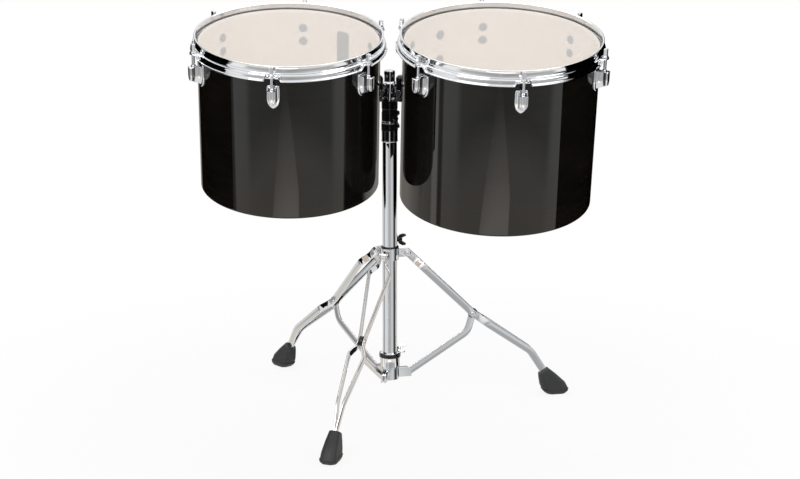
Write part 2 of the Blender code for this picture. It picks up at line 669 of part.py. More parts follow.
def bent_rod(name, corners, radius, parent, material):
    """A round bar as a bevelled curve with rounded corners."""
    curve = bpy.data.curves.new(name, "CURVE")
    curve.dimensions = "3D"
    curve.bevel_depth = radius
    curve.bevel_resolution = 3
    curve.use_fill_caps = True
    path = rounded_path(corners, ROD_BEND_RADIUS, 6)
    spline = curve.splines.new("POLY")
    spline.points.add(len(path) - 1)
    for point, position in zip(spline.points, path):
        point.co = (*position, 1.0)
    curve.materials.append(material)
    rod = bpy.data.objects.new(name, curve)
    bpy.context.scene.collection.objects.link(rod)
    rod.parent = parent
    return rod


def memory_lock():
    """The collar that carries a bracket's boss, which stands on it."""
    top = -BOSS_HEIGHT / 2 - SEAT_GAP
    bottom = top - LOCK_HEIGHT
    inner = ROD_RADIUS + HOLE_GAP
    edge = 1.0 * MM
    return turned([(LOCK_RADIUS - edge, top), (inner, top), (inner, bottom), (LOCK_RADIUS - edge, bottom),
                   (LOCK_RADIUS, bottom + edge), (LOCK_RADIUS, top - edge)], BORE_STEPS)


def shell(drum):
    """An open wooden tube with a bevelled bearing edge."""
    top = -RIM_ABOVE_EDGE
    bottom = top - drum.depth
    inner = drum.radius - SHELL_WALL
    crest = drum.radius - BEARING_DROP / 2
    return turned([(drum.radius, bottom), (drum.radius, top - BEARING_DROP), (crest, top),
                   (crest - WELD, top), (inner, top - BEARING_DROP), (inner, bottom)], DRUM_STEPS)


def head(drum):
    """The film over the bearing edge, its collar and the flesh hoop that it is set in."""
    under = SEAT_GAP - RIM_ABOVE_EDGE
    top = under + FILM_THICKNESS
    hoop_top = -TAB_LEVEL - SHEET / 2 - SEAT_GAP
    hoop_bottom = hoop_top - FLESH_HOOP_HEIGHT
    collar = drum.radius + RUNNING_GAP
    collar_top = -RIM_ABOVE_EDGE - BEARING_DROP
    crest = drum.radius - BEARING_DROP / 2
    outer = collar + FLESH_HOOP_WIDTH
    return turned([(0, top), (crest + SEAT_GAP, top), (collar + FILM_THICKNESS, collar_top),
                   (collar + 2 * FILM_THICKNESS, hoop_top), (outer, hoop_top), (outer, hoop_bottom),
                   (collar, hoop_bottom), (collar, collar_top), (crest, under), (0, under)], DRUM_STEPS)


def hoop(drum):
    """A pressed triple-flange hoop whose skirt opens into a drilled tab over each lug."""
    top = [(HOOP_STANDOFF + SHEET, -SHEET / 2), (HOOP_STANDOFF, -SHEET),
           (HOOP_STANDOFF, SHEET / 2 - TAB_LEVEL)]
    knee = SKIRT_STANDOFF - SEAT_GAP
    plain = top + [(knee, -TAB_LEVEL), (SKIRT_STANDOFF, -SKIRT_LEVEL),
                   (SKIRT_STANDOFF + SKIRT_LIP, -SKIRT_LEVEL - SKIRT_LIP / 2)]
    circle = drum.radius + ROD_OFFSET
    pitch = 2 * pi / LUG_COUNT
    tab_reaches = ((TAB_HALF_WIDTH * 0.55, TAB_REACH), (TAB_HALF_WIDTH, TAB_REACH - TAB_FLARE))
    half_sector = [(across / circle, top + [(knee, -TAB_LEVEL), ((knee + reach) / 2, -TAB_LEVEL),
                                            (reach, -TAB_LEVEL)]) for across, reach in tab_reaches]
    edge = (TAB_HALF_WIDTH + TAB_FLARE) / circle
    half_sector.append((edge, plain))
    stations = [(-angle, line) for angle, line in reversed(half_sector)] + half_sector
    stations += [(edge + (pitch - 2 * edge) * step / HOOP_SPANS, plain) for step in range(1, HOOP_SPANS)]
    loops = []
    for number in range(LUG_COUNT):
        for angle, line in stations:
            turn = number * pitch + angle
            outline = thickened(line, SHEET)
            loops.append([((drum.radius + point.x) * cos(turn), (drum.radius + point.x) * sin(turn), point.y)
                          for point in outline])
    holes = [round_bar(KEY_ROD_RADIUS + HOLE_GAP, -TAB_LEVEL - 2 * SHEET, -TAB_LEVEL + 2 * SHEET,
                       around(number * pitch, circle), FINE_STEPS) for number in range(LUG_COUNT)]
    return combined("DIFFERENCE", loft(loops, ring=True), gathered(holes))


def lug():
    """A bullet lug on its shield-shaped plate; X points away from the shell, Z up to the hoop."""
    half_outline = [(0, -PLATE_TOP), (PLATE_HALF_WIDTH * 0.8, -PLATE_TOP),
                    (PLATE_HALF_WIDTH, -PLATE_TOP - 3 * MM), (PLATE_HALF_WIDTH, -PLATE_BOTTOM + 17 * MM),
                    (PLATE_HALF_WIDTH * 0.75, -PLATE_BOTTOM + 8 * MM), (0, -PLATE_BOTTOM)]
    outline = half_outline + [(-y, z) for y, z in half_outline[-2:0:-1]]
    middle = -(PLATE_TOP + PLATE_BOTTOM) / 2
    plate = loft([[(SEAT_GAP, y, z) for y, z in outline],
                  [(PLATE_THICKNESS, y * 0.92, middle + (z - middle) * 0.95) for y, z in outline]])
    waist = ROD_OFFSET + KEY_ROD_RADIUS
    half = [(WELD, LUG_HALF_WIDTH), (PLATE_THICKNESS * 2, LUG_WAIST), (waist, LUG_WAIST),
            (waist + 2 * MM, LUG_HALF_WIDTH), (LUG_REACH - LUG_RIDGE, LUG_HALF_WIDTH)]
    section = half + [(LUG_REACH, 0.0)] + [(x, -y) for x, y in reversed(half)]
    loops = []
    for outer, heel, swell in ((LUG_TOP, LUG_TOP, 1.0),
                               (LUG_TOP * 0.4 + LUG_TIP * 0.6, LUG_TOP * 0.4 + LUG_TIP * 0.6, 1.0),
                               (LUG_TIP - LUG_HALF_WIDTH / 2, LUG_HEEL - LUG_HALF_WIDTH, 0.8),
                               (LUG_TIP, LUG_HEEL, 0.25)):
        slope = (heel - outer) / LUG_REACH
        loops.append([(x, y * swell, -outer - (LUG_REACH - x) * slope) for x, y in section])
    bore = round_bar(KEY_ROD_RADIUS + HOLE_GAP, -KEY_ROD_END - KEY_ROD_RADIUS, CUT_MARGIN - LUG_TOP,
                     Matrix.Translation((ROD_OFFSET, 0, 0)), FINE_STEPS)
    return combined("DIFFERENCE", combined("UNION", plate, loft(loops)), bore)


def tension_rod():
    """A key rod with its washer, from the square head down into the lug."""
    washer = -TAB_LEVEL + SHEET / 2 + SEAT_GAP
    flange = washer + 1.6 * MM
    shoulder = flange + 2.2 * MM
    sections = ((KEY_ROD_RADIUS, -KEY_ROD_END, False),
                (KEY_ROD_RADIUS, washer, False),
                (WASHER_RADIUS, washer, False), (WASHER_RADIUS, flange, False),
                (KEY_HEAD_HALF * 1.55, flange, False), (KEY_HEAD_HALF * 1.55, shoulder, False),
                (KEY_HEAD_HALF, shoulder, True), (KEY_HEAD_HALF, KEY_HEAD_TOP, True))
    loops = []
    for size, level, square in sections:
        loop = []
        for corner in range(8):
            turn = corner * pi / 4
            stretch = 1.0 / max(abs(cos(turn)), abs(sin(turn))) if square else 1.0
            loop.append((size * stretch * cos(turn), size * stretch * sin(turn), level))
        loops.append(loop)
    return loft(loops)


def mount_bracket(drum):
    """A curved foot plate on the shell with a boss for the rod; X points away from the shell."""
    loops = []
    for step in range(5):
        across = BRACKET_WIDTH * (step / 4 - 0.5)
        inner = (((drum.radius + SEAT_GAP) ** 2 - across ** 2) ** 0.5) - drum.radius
        outer = inner + BRACKET_PLATE * (1.0 if 0 < step < 4 else 0.6)
        half = BRACKET_HEIGHT / 2 - (0.0 if 0 < step < 4 else 6 * MM)
        loops.append([(inner, across, -half), (outer, across, -half), (outer, across, half),
                      (inner, across, half)])
    plate = loft(loops)
    web_side = BOSS_RADIUS * 0.8
    web_half = BOSS_HEIGHT * 0.46
    web = box((BRACKET_PLATE * 0.5, -web_side, -web_half), (BRACKET_STANDOFF, web_side, web_half))
    centre = Matrix.Translation((BRACKET_STANDOFF, 0, 0))
    boss = round_bar(BOSS_RADIUS, -BOSS_HEIGHT / 2, BOSS_HEIGHT / 2, centre, BLOCK_STEPS)
    bore = round_bar(ROD_RADIUS + HOLE_GAP, -BOSS_HEIGHT, BOSS_HEIGHT, centre, BORE_STEPS)
    thread = round_bar(BOLT_RADIUS + HOLE_GAP, 0, 2 * BOSS_RADIUS, centre @ along((0, 0, 0), (1, 0, 0)),
                       FINE_STEPS)
    return combined("DIFFERENCE", combined("UNION", plate, web, boss), bore, thread)


def build_base(root, chrome, plastic, rubber):
    """The tube, its clamps, the sliding hub and the three folding legs."""
    place("base_tube", base_tube(), chrome, root)
    place("lower_hub", lower_hub(), chrome, root)
    place("lower_clamp", lower_clamp(), chrome, root)
    place("height_clamp", height_clamp(), plastic, root)
    lower_frame = ear_bolt_frame(LOWER_CLAMP_TOP + LOWER_BOLT_RISE, radians(45))
    lower_joint = empty("lower_wing_joint", root, lower_frame)
    place("lower_wing_bolt", ear_bolt(LOWER_WING_SPAN), chrome, lower_joint)
    direction = Vector((cos(KNOB_AZIMUTH), sin(KNOB_AZIMUTH), 0))
    knob_start = direction * (POST_RADIUS + SEAT_GAP) + Vector((0, 0, CLAMP_BOTTOM + KNOB_RISE))
    upright = Matrix.Rotation(radians(90), 4, "Z")
    knob_joint = empty("height_knob_joint", root, along(knob_start, direction) @ upright)
    place("height_clamp_knob", wing_bolt(COLLAR_RADIUS - POST_RADIUS + WELD, KNOB_SPAN), plastic, knob_joint)

    hub_joint = empty("leg_hub_joint", root, Matrix.Translation((0, 0, HUB_PIVOT.y)))
    down = Matrix.Translation((0, 0, -HUB_PIVOT.y))
    place("leg_hub", leg_hub(), chrome, hub_joint, down)
    bolt_frame = ear_bolt_frame(HUB_TOP + HUB_BOLT_RISE, radians(90))
    hub_wing_joint = empty("leg_hub_wing_joint", hub_joint, down @ bolt_frame)
    place("leg_hub_wing", ear_bolt(HUB_WING_SPAN), plastic, hub_wing_joint)
    leg_mesh = leg()
    brace_mesh = brace()
    foot_mesh = foot()
    for number in range(LEG_COUNT):
        azimuth = leg_azimuth(number)
        leg_joint = empty(f"leg_{number + 1}_joint", hub_joint, around(azimuth, HUB_PIVOT.x))
        back = Matrix.Translation(-plane(HUB_PIVOT))
        place(f"leg_{number + 1}", leg_mesh, chrome, leg_joint, back)
        place(f"foot_{number + 1}", foot_mesh, rubber, leg_joint, back)
        brace_frame = around(azimuth) @ Matrix.Translation(plane(BRACE_PIVOT))
        brace_joint = empty(f"brace_{number + 1}_joint", root, brace_frame)
        back = Matrix.Translation(-plane(BRACE_PIVOT))
        place(f"brace_{number + 1}", brace_mesh, chrome, brace_joint, back)


def build_drum(drum, holder_joint, shared, chrome, plastic, lacquer, film):
    """One tilter, its rod and memory lock, and the drum that hangs on them."""
    side = drum.side
    lug_mesh, rod_mesh = shared
    tilter_joint = empty(f"{side}_tilter_joint", holder_joint,
                         around(drum.arm_azimuth, ARM_REACH, TILTER_FOOT - HEAD_BOTTOM))
    place(f"{side}_tilter", tilter(), plastic, tilter_joint)
    bolt_start = Vector((0, -drum.wing_side * (TILTER_RADIUS + SEAT_GAP), CROSS_BOLT_ABOVE_FOOT))
    bolt_joint = empty(f"{side}_tilter_wing_joint", tilter_joint, along(bolt_start, (0, drum.wing_side, 0)))
    cross_bolt = wing_bolt(2 * TILTER_RADIUS + 2 * SEAT_GAP, WING_SPAN, CROSS_BOLT_HEAD_RADIUS)
    place(f"{side}_tilter_wing_bolt", cross_bolt, chrome, bolt_joint)

    upright = Matrix.Rotation(TILT, 4, "X")
    rod_joint = empty(f"{side}_rod_joint", tilter_joint, Matrix.Translation((0, 0, ROD_ABOVE_TILTER_FOOT)))
    unturned = Matrix.Rotation(-drum.arm_azimuth, 4, "Z")
    rise_axis = (unturned @ upright).to_3x3() @ Vector((0, 0, 1))
    corner = Vector((drum.reach - ARM_REACH, 0, 0))
    bent_rod(f"{side}_l_rod", [Vector((-ROD_INNER_OVERHANG, 0, 0)), corner,
                               corner + rise_axis * (drum.rise + ROD_TOP_OVERHANG)],
             ROD_RADIUS, rod_joint, chrome)

    seat = Matrix.Translation(corner + rise_axis * drum.rise) @ unturned @ upright
    lock_joint = empty(f"{side}_lock_joint", rod_joint, seat)
    place(f"{side}_memory_lock", memory_lock(), chrome, lock_joint)

    drum_joint = empty(f"{side}_drum_joint", lock_joint)
    out = -(drum.radius + BRACKET_STANDOFF)
    centre = Matrix.Translation((out * cos(drum.bracket_azimuth), out * sin(drum.bracket_azimuth),
                                 BRACKET_DEPTH))
    rim = centre @ Matrix.Rotation(drum.lug_azimuth, 4, "Z")
    place(f"{side}_shell", shell(drum), lacquer, drum_joint, rim)
    place(f"{side}_head", head(drum), film, drum_joint, rim)
    place(f"{side}_hoop", hoop(drum), chrome, drum_joint, rim)
    bracket_frame = centre @ around(drum.bracket_azimuth, drum.radius, -BRACKET_DEPTH)
    place(f"{side}_mount_bracket", mount_bracket(drum), chrome, drum_joint, bracket_frame)
    tip = bracket_frame @ along((BRACKET_STANDOFF + ROD_RADIUS + SEAT_GAP, 0, 0), (1, 0, 0))
    wing_joint = empty(f"{side}_bracket_wing_joint", drum_joint, tip)
    place(f"{side}_bracket_wing_bolt", wing_bolt(BOSS_RADIUS - ROD_RADIUS), chrome, wing_joint)
    for number in range(LUG_COUNT):
        turn = number * 2 * pi / LUG_COUNT
        place(f"{side}_lug_{number + 1}", lug_mesh, chrome, drum_joint, rim @ around(turn, drum.radius))
        rod_frame = rim @ around(turn, drum.radius + ROD_OFFSET)
        key_joint = empty(f"{side}_tension_rod_{number + 1}_joint", drum_joint, rod_frame)
        place(f"{side}_tension_rod_{number + 1}", rod_mesh, chrome, key_joint)


def centre_on_floor(root):
    """Move everything so that the middle of its box stands over the origin."""
    bpy.context.view_layer.update()
    graph = bpy.context.evaluated_depsgraph_get()
    points = []
    for piece in bpy.context.scene.objects:
        if piece.type != "EMPTY":
            solid = piece.evaluated_get(graph)
            points += [piece.matrix_world @ vertex.co for vertex in solid.to_mesh().vertices]
            solid.to_mesh_clear()
    for axis in (0, 1):
        values = [point[axis] for point in points]
        root.location[axis] = -(min(values) + max(values)) / 2


def main():
    clear_scene()
    chrome = finish("chrome", (0.80, 0.81, 0.82), 0.08, 1.0)
    plastic = finish("black_plastic", (0.02, 0.02, 0.022), 0.45, 0.0)
    rubber = finish("black_rubber", (0.035, 0.035, 0.037), 0.7, 0.0)
    lacquer = finish("black_lacquer", (0.012, 0.011, 0.011), 0.12, 0.0)
    film = finish("cream_film", (0.86, 0.83, 0.77), 0.4, 0.0)
    root = empty("stand", None)
    build_base(root, chrome, plastic, rubber)
    holder_joint = empty("holder_joint", root, Matrix.Translation((0, 0, HEAD_BOTTOM)))
    place("holder_post", holder_post(), chrome, holder_joint, Matrix.Translation((0, 0, -HEAD_BOTTOM)))
    shared = (lug(), tension_rod())
    for drum in DRUMS:
        build_drum(drum, holder_joint, shared, chrome, plastic, lacquer, film)
    centre_on_floor(root)


main()
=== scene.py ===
"""The finished looks of a pair of concert toms on a double tom stand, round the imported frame."""

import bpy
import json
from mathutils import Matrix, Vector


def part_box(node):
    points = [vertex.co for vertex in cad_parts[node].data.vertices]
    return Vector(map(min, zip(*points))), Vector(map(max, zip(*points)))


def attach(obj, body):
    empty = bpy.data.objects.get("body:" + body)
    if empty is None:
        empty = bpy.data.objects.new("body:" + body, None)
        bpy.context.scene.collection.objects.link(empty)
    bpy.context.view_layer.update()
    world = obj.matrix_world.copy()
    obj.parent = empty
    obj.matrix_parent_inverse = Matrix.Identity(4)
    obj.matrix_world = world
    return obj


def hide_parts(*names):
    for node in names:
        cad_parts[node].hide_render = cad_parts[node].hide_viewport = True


bl_info = {
    "name": "Concert Tom Pair",
    "version": (1, 0, 0),
    "blender": (4, 5, 0),
    "location": "View3D > Sidebar > Toms",
    "description": "Shells, heads, hoops, fittings and stand of a pair of concert toms",
    "category": "Object",
}

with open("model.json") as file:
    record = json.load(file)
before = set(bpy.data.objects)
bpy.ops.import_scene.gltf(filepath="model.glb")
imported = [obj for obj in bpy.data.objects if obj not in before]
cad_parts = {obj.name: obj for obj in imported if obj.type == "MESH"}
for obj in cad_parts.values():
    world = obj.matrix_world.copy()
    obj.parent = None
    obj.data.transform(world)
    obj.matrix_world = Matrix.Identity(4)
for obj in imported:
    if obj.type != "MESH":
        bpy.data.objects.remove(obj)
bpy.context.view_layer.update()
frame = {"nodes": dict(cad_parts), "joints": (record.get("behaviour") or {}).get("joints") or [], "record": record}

import json
from collections import namedtuple
from math import atan2, cos, hypot, pi, radians, sin, tan

import bmesh
import bpy
from bpy.props import FloatProperty, FloatVectorProperty, IntProperty, PointerProperty
from mathutils import Matrix, Quaternion, Vector

MM = 0.001

# Camera
PHOTO_WIDTH = 800
PHOTO_FOCAL_PIXELS = 1825.5
SENSOR_WIDTH = 36.0
CAMERA_FROM_TUBE = Vector((-0.2846, -3.4990, 1.1981))
CAMERA_PITCH = radians(13.71)
CAMERA_YAW = radians(-0.87)
CAMERA_PAN = radians(5.85)

# Drums
LUG_COUNT = 6
SHELL_WALL = 6.0 * MM
RIM_ABOVE_EDGE = 12.0 * MM
ROD_OFFSET = 15.0 * MM
TAB_LEVEL = 16.0 * MM
TAB_REACH = 21.5 * MM
TAB_HALF_WIDTH = 9.5 * MM
TAB_FLARE = 6.0 * MM
LUG_TOP = 40.5 * MM
LUG_TIP = 65.5 * MM
LUG_HEEL = 76.0 * MM
LUG_REACH = 24.5 * MM
PLATE_TOP = 36.7 * MM
PLATE_BOTTOM = 81.0 * MM
PLATE_HALF_WIDTH = 11.75 * MM
KEY_ROD_RADIUS = 2.8 * MM
KEY_ROD_END = 61.0 * MM
KEY_HEAD_HALF = 3.5 * MM
BRACKET_STANDOFF = 26.0 * MM
BRACKET_DEPTH = 74.0 * MM
LUG_SCREW_LEVELS = (46.5 * MM, 72.5 * MM)
BRACKET_SCREW_LEVELS = (51.3 * MM, 100.5 * MM)

# Stand; points of a leg are pairs of distance from the tube's axis and height
TUBE_RADIUS = 14.3 * MM
COLLAR_RADIUS = 16.4 * MM
COLLAR_HEIGHT = 40.7 * MM
CLAMP_RADIUS = 15.8 * MM
TILTER_RADIUS = 15.0 * MM
TILTER_HEIGHT = 43.7 * MM
CAP_RADIUS = 10.5 * MM
LEG_COUNT = 3
FIRST_LEG_AZIMUTH = radians(7)
HUB_PIVOT = (36.0 * MM, 314.0 * MM)
MIDDLE_PIVOT = (170.5 * MM, 180.7 * MM)
LEG_BEND = (291.5 * MM, 94.8 * MM)
LEG_BEND_RADIUS = 45.0 * MM
FOOT_ENTRY = (321.0 * MM, 49.0 * MM)
FOOT_INSERT = 14.0 * MM
BRACE_PIVOT = (34.6 * MM, 63.5 * MM)
BRACE_KNEE = (160.0 * MM, 142.5 * MM)
BRACE_KNEE_RADIUS = 28.0 * MM
STRIP_WIDTH = 15.0 * MM
STRIP_THICKNESS = 3.0 * MM
HUB_SPREAD = 7.5 * MM
MIDDLE_SPREAD = 5.5 * MM
FOOT_SPREAD = 1.6 * MM
BUSH_RADIUS = 9.5 * MM

# The studio as bright parts see it: bearing in degrees, 0 towards the player and 90 to the right, and brightness
LOW_PANELS = ((-180, 0.70), (-97, 0.70), (-95, 1.45), (-88, 1.45), (-87, 0.25), (-82, 0.25), (-80.5, 0.95),
              (76.5, 0.95), (78, 0.01), (130, 0.01), (132, 0.70), (180, 0.70))
LEVEL_PANELS = ((-180, 0.40), (-158, 0.40), (-140, 0.75), (-118, 0.75), (-112, 0.30), (-98, 0.30), (-88, 0.80),
                (-50, 0.80), (-31, 0.60), (-15, 0.46), (0, 0.44), (15, 0.55), (32, 0.72), (52, 0.45), (60, 0.06),
                (90, 0.06), (100, 0.45), (112, 0.80), (140, 0.75), (158, 0.40), (180, 0.40))
PANEL_PEAK = 1.5
WEDGE_BEARING = -9.0

# Black boards at the sides: X, and the (Y, height) corners
BOARDS = ((-0.75, ((-0.24, 0.24), (-0.30, 0.50), (-0.45, 1.20), (1.00, 1.20), (1.00, 0.24))),
          (0.60, ((-0.34, 0.25), (-0.44, 0.60), (-0.60, 1.20), (1.00, 1.20), (1.00, 0.25))))

Drum = namedtuple("Drum", "side radius depth lug_azimuth bracket_azimuth")
DRUMS = (
    Drum("left", 165.1 * MM, 279.4 * MM, radians(-101.3), radians(48.7)),
    Drum("right", 177.8 * MM, 304.8 * MM, radians(-86.3), radians(123.7)),
)


class TomSizes(bpy.types.PropertyGroup):
    """Sizes of the fine surface."""
    shell_steps: IntProperty(name="Shell steps", description="Facets round a shell", default=240, min=48)
    tube_steps: IntProperty(name="Tube steps", description="Facets round a tube or a fitting", default=64, min=16)
    hoop_steps: IntProperty(name="Hoop steps", description="Facets of a hoop between two lugs", default=30, min=8)
    film_thickness: FloatProperty(name="Film", description="Thickness of the head's film",
                                  default=0.25 * MM, unit="LENGTH")
    hoop_sheet: FloatProperty(name="Hoop sheet", description="Thickness of the pressed hoop",
                              default=2.3 * MM, unit="LENGTH")
    edge_round: FloatProperty(name="Edge rounding", description="Rounding of the fittings' edges",
                              default=0.35 * MM, unit="LENGTH")
    washer_radius: FloatProperty(name="Washer", description="Radius of the washers inside a shell",
                                 default=8.0 * MM, unit="LENGTH")


class TomColors(bpy.types.PropertyGroup):
    """Colours of the finishes."""
    lacquer: FloatVectorProperty(name="Lacquer", description="Dark stain under the gloss coat", subtype="COLOR",
                                 default=(0.0025, 0.0025, 0.0023))
    grain: FloatVectorProperty(name="Grain", description="Lighter lines of the stained grain", subtype="COLOR",
                               default=(0.010, 0.008, 0.006))
    inside: FloatVectorProperty(name="Inside", description="Pale wood inside a shell", subtype="COLOR",
                                default=(0.88, 0.79, 0.70))
    film: FloatVectorProperty(name="Film", description="Hazy film of the heads", subtype="COLOR",
                              default=(0.89, 0.86, 0.83))
    chrome: FloatVectorProperty(name="Chrome", description="Plated steel", subtype="COLOR",
                                default=(0.86, 0.87, 0.89))
    steel: FloatVectorProperty(name="Steel", description="Washers and plates inside a shell", subtype="COLOR",
                               default=(0.09, 0.14, 0.21))
    rubber: FloatVectorProperty(name="Rubber", description="Feet", subtype="COLOR",
                                default=(0.020, 0.021, 0.021))
    plastic: FloatVectorProperty(name="Plastic", description="Clamps, tilters and knobs", subtype="COLOR",
                                 default=(0.008, 0.008, 0.009))


class Number:
    """A shader socket that can stand in a Python expression."""

    def __init__(self, finish, socket):
        self.finish = finish
        self.socket = socket

    def combine(self, operation, first, second=0.0):
        """One Math node of one or two values."""
        node = self.finish.node("ShaderNodeMath", {"operation": operation}, {0: first, 1: second})
        return Number(self.finish, node.outputs[0])

    def __add__(self, other):
        return self.combine("ADD", self, other)

    def __mul__(self, other):
        return self.combine("MULTIPLY", self, other)

    def __sub__(self, other):
        return self.combine("SUBTRACT", self, other)

    def __rsub__(self, other):
        return self.combine("SUBTRACT", other, self)

    def __abs__(self):
        return self.combine("ABSOLUTE", self)

    __radd__ = __add__
    __rmul__ = __mul__


class Finish:
    """A material or a world while its nodes are put together."""

    def __init__(self, block):
        block.use_nodes = True
        self.block = block
        self.tree = block.node_tree

    def feed(self, socket, value):
        """Set a socket to a number or colour, or link it."""
        if isinstance(value, Number):
            value = value.socket
        if isinstance(value, bpy.types.NodeSocket):
            self.tree.links.new(value, socket)
        else:
            socket.default_value = value

    def node(self, kind, settings=None, inputs=None):
        """A node of any kind; its settings come first, then its sockets."""
        made = self.tree.nodes.new(kind)
        for name, value in (settings or {}).items():
            if name == "stops":
                marks = made.color_ramp.elements
                for mark, (position, level) in zip(marks, (value[0], value[-1])):
                    mark.position = position
                    mark.color = (level, level, level, 1.0)
                for position, level in value[1:-1]:
                    marks.new(position).color = (level, level, level, 1.0)
            else:
                setattr(made, name, value)
        for name, value in (inputs or {}).items():
            self.feed(made.inputs[name], value)
        return made

    def number(self, node, output=0):
        """One output of a node as a value for expressions."""
        return Number(self, node.outputs[output])

    def noise(self, coordinates, scale, detail=3.0, stretch=(1.0, 1.0, 1.0)):
        """Noise over stretched coordinates, as a value."""
        mapped = self.node("ShaderNodeMapping", {}, {"Vector": coordinates, "Scale": stretch})
        return self.number(self.node("ShaderNodeTexNoise", {}, {"Vector": mapped.outputs[0], "Scale": scale,
                                                                "Detail": detail}))

    def between(self, value, low, high, first=0.0, last=1.0):
        """A value carried over from one span to another and held at its ends."""
        return self.number(self.node("ShaderNodeMapRange", {}, {"Value": value, "From Min": low, "From Max": high,
                                                                "To Min": first, "To Max": last}))

    def blend(self, factor, first, second):
        """A colour between two."""
        mix = self.node("ShaderNodeMix", {"data_type": "RGBA"}, {0: factor, 6: first, 7: second})
        return mix.outputs[2]

    def place(self, output="Object"):
        """The piece's own coordinates."""
        return self.node("ShaderNodeTexCoord").outputs[output]

    def relief(self, shader, height, strength, distance):
        """Relief of a shader from a height."""
        bump = self.node("ShaderNodeBump", {}, {"Height": height, "Strength": strength, "Distance": distance})
        self.feed(shader.inputs["Normal"], bump.outputs["Normal"])


def opaque(color, share=1.0):
    """A share of a colour, with full alpha."""
    return (*(part * share for part in color), 1.0)


def surface(name, color, roughness, **constants):
    """A material with its Principled shader set to plain values."""
    finish = Finish(bpy.data.materials.new(name))
    shader = finish.tree.nodes["Principled BSDF"]
    finish.feed(shader.inputs["Base Color"], opaque(color))
    finish.feed(shader.inputs["Roughness"], roughness)
    for socket, value in constants.items():
        finish.feed(shader.inputs[socket.replace("_", " ")], value)
    return finish, shader


def chrome_finish(name, color):
    """Bright chrome plate with faint hazing and the least waviness."""
    finish, shader = surface(name, color, 0.05, Metallic=1.0)
    place = finish.place()
    haze = finish.noise(place, 55.0, 5.0)
    finish.feed(shader.inputs["Roughness"], 0.03 + haze * 0.06)
    finish.feed(shader.inputs["Base Color"], finish.blend(haze, opaque(color, 0.95), opaque(color)))
    finish.relief(shader, finish.noise(place, 24.0, 1.0), 0.02, 1.0 * MM)
    return finish.block


def steel_finish(name, color):
    """Dull steel of the washers and plates inside the shells."""
    finish, shader = surface(name, color, 0.35, Metallic=1.0)
    scuffs = finish.noise(finish.place(), 300.0, 4.0)
    finish.feed(shader.inputs["Roughness"], 0.28 + scuffs * 0.14)
    finish.feed(shader.inputs["Base Color"], finish.blend(scuffs, opaque(color, 0.9), opaque(color, 1.05)))
    return finish.block


def lacquer_finish(name, color):
    """Near-black stained wood with fine level grain under a thick gloss coat."""
    finish, shader = surface(name, color, 0.32, Coat_Weight=1.0, Coat_Roughness=0.02,
                             Specular_IOR_Level=0.0)
    place = finish.place("UV")
    streaks = finish.noise(place, 9.0, 9.0, (1.0, 26.0, 1.0))
    pores = finish.noise(place, 70.0, 4.0, (1.0, 22.0, 1.0))
    clouds = finish.noise(place, 5.0, 3.0, (1.0, 2.5, 1.0))
    amount = finish.between(streaks * 0.55 + pores * 0.25 + clouds * 0.3, 0.42, 0.72)
    light = opaque(bpy.context.scene.tom_colors.grain)
    finish.feed(shader.inputs["Base Color"], finish.blend(amount, opaque(color), light))
    finish.feed(shader.inputs["Roughness"], 0.30 + pores * 0.15)
    return finish.block


def wood_finish(name, color):
    """Pale level-grained wood inside the shells."""
    finish, shader = surface(name, color, 0.55)
    streaks = finish.noise(finish.place("UV"), 12.0, 8.0, (1.0, 30.0, 1.0))
    finish.feed(shader.inputs["Base Color"], finish.blend(streaks, opaque(color, 0.88), opaque(color, 1.08)))
    finish.relief(shader, streaks, 0.12, 0.3 * MM)
    return finish.block


def film_finish(name, color):
    """Hazy film, a little uneven, that shows what lies inside the drum."""
    finish, shader = surface(name, color, 0.3)
    place = finish.place()
    haze = finish.noise(place, 6.0, 4.0)
    speckle = finish.noise(place, 420.0, 2.0)
    warm = opaque((color[0], color[1] * 0.985, color[2] * 0.96))
    finish.feed(shader.inputs["Base Color"], finish.blend(haze, warm, opaque(color)))
    finish.feed(shader.inputs["Roughness"], 0.24 + speckle * 0.12)
    rays = finish.node("ShaderNodeLightPath")
    passing = finish.number(rays, "Is Shadow Ray") + finish.number(rays, "Is Diffuse Ray")
    finish.feed(shader.inputs["Alpha"], (0.30 + haze * 0.05) * (1 - passing * 0.95))
    finish.relief(shader, speckle, 0.05, 0.1 * MM)
    return finish.block


def moulded(name, color, roughness, grain):
    """Moulded plastic or rubber with a fine grained skin."""
    finish, shader = surface(name, color, roughness)
    place = finish.place()
    dust = finish.noise(place, 40.0, 4.0)
    dusty = opaque([part * 1.5 + 0.002 for part in color])
    finish.feed(shader.inputs["Base Color"], finish.blend(dust, opaque(color), dusty))
    finish.feed(shader.inputs["Roughness"], roughness - 0.05 + dust * 0.1)
    finish.relief(shader, finish.noise(place, 900.0, 3.0), grain, 0.2 * MM)
    return finish.block


def plastic_finish(name, color):
    """Glossy black plastic."""
    return moulded(name, color, 0.2, 0.04)


def rubber_finish(name, color):
    """Matt black rubber with a moulded grain."""
    return moulded(name, color, 0.5, 0.35)


# Each slot's material: its maker and the colour that it takes
FINISHES = {
    "chrome": (chrome_finish, "chrome"),
    "black_plastic": (plastic_finish, "plastic"),
    "black_rubber": (rubber_finish, "rubber"),
    "black_lacquer": (lacquer_finish, "lacquer"),
    "cream_film": (film_finish, "film"),
    "pale_wood": (wood_finish, "inside"),
    "dull_steel": (steel_finish, "steel"),
}


def finish_named(name):
    """The material of a slot, made when it is first asked for."""
    found = bpy.data.materials.get(f"{name}_finish")
    if found:
        return found
    maker, color = FINISHES[name]
    return maker(f"{name}_finish", tuple(getattr(bpy.context.scene.tom_colors, color)))


NODE_SLOT = {entry["node"]: entry["material_slot"] for entry in frame["record"]["subparts"]}
NODE_BODY = {node: body for body, nodes in frame["record"]["behaviour"]["bodies"].items() for node in nodes}
JOINTS = {joint["name"]: joint for joint in frame["joints"]}


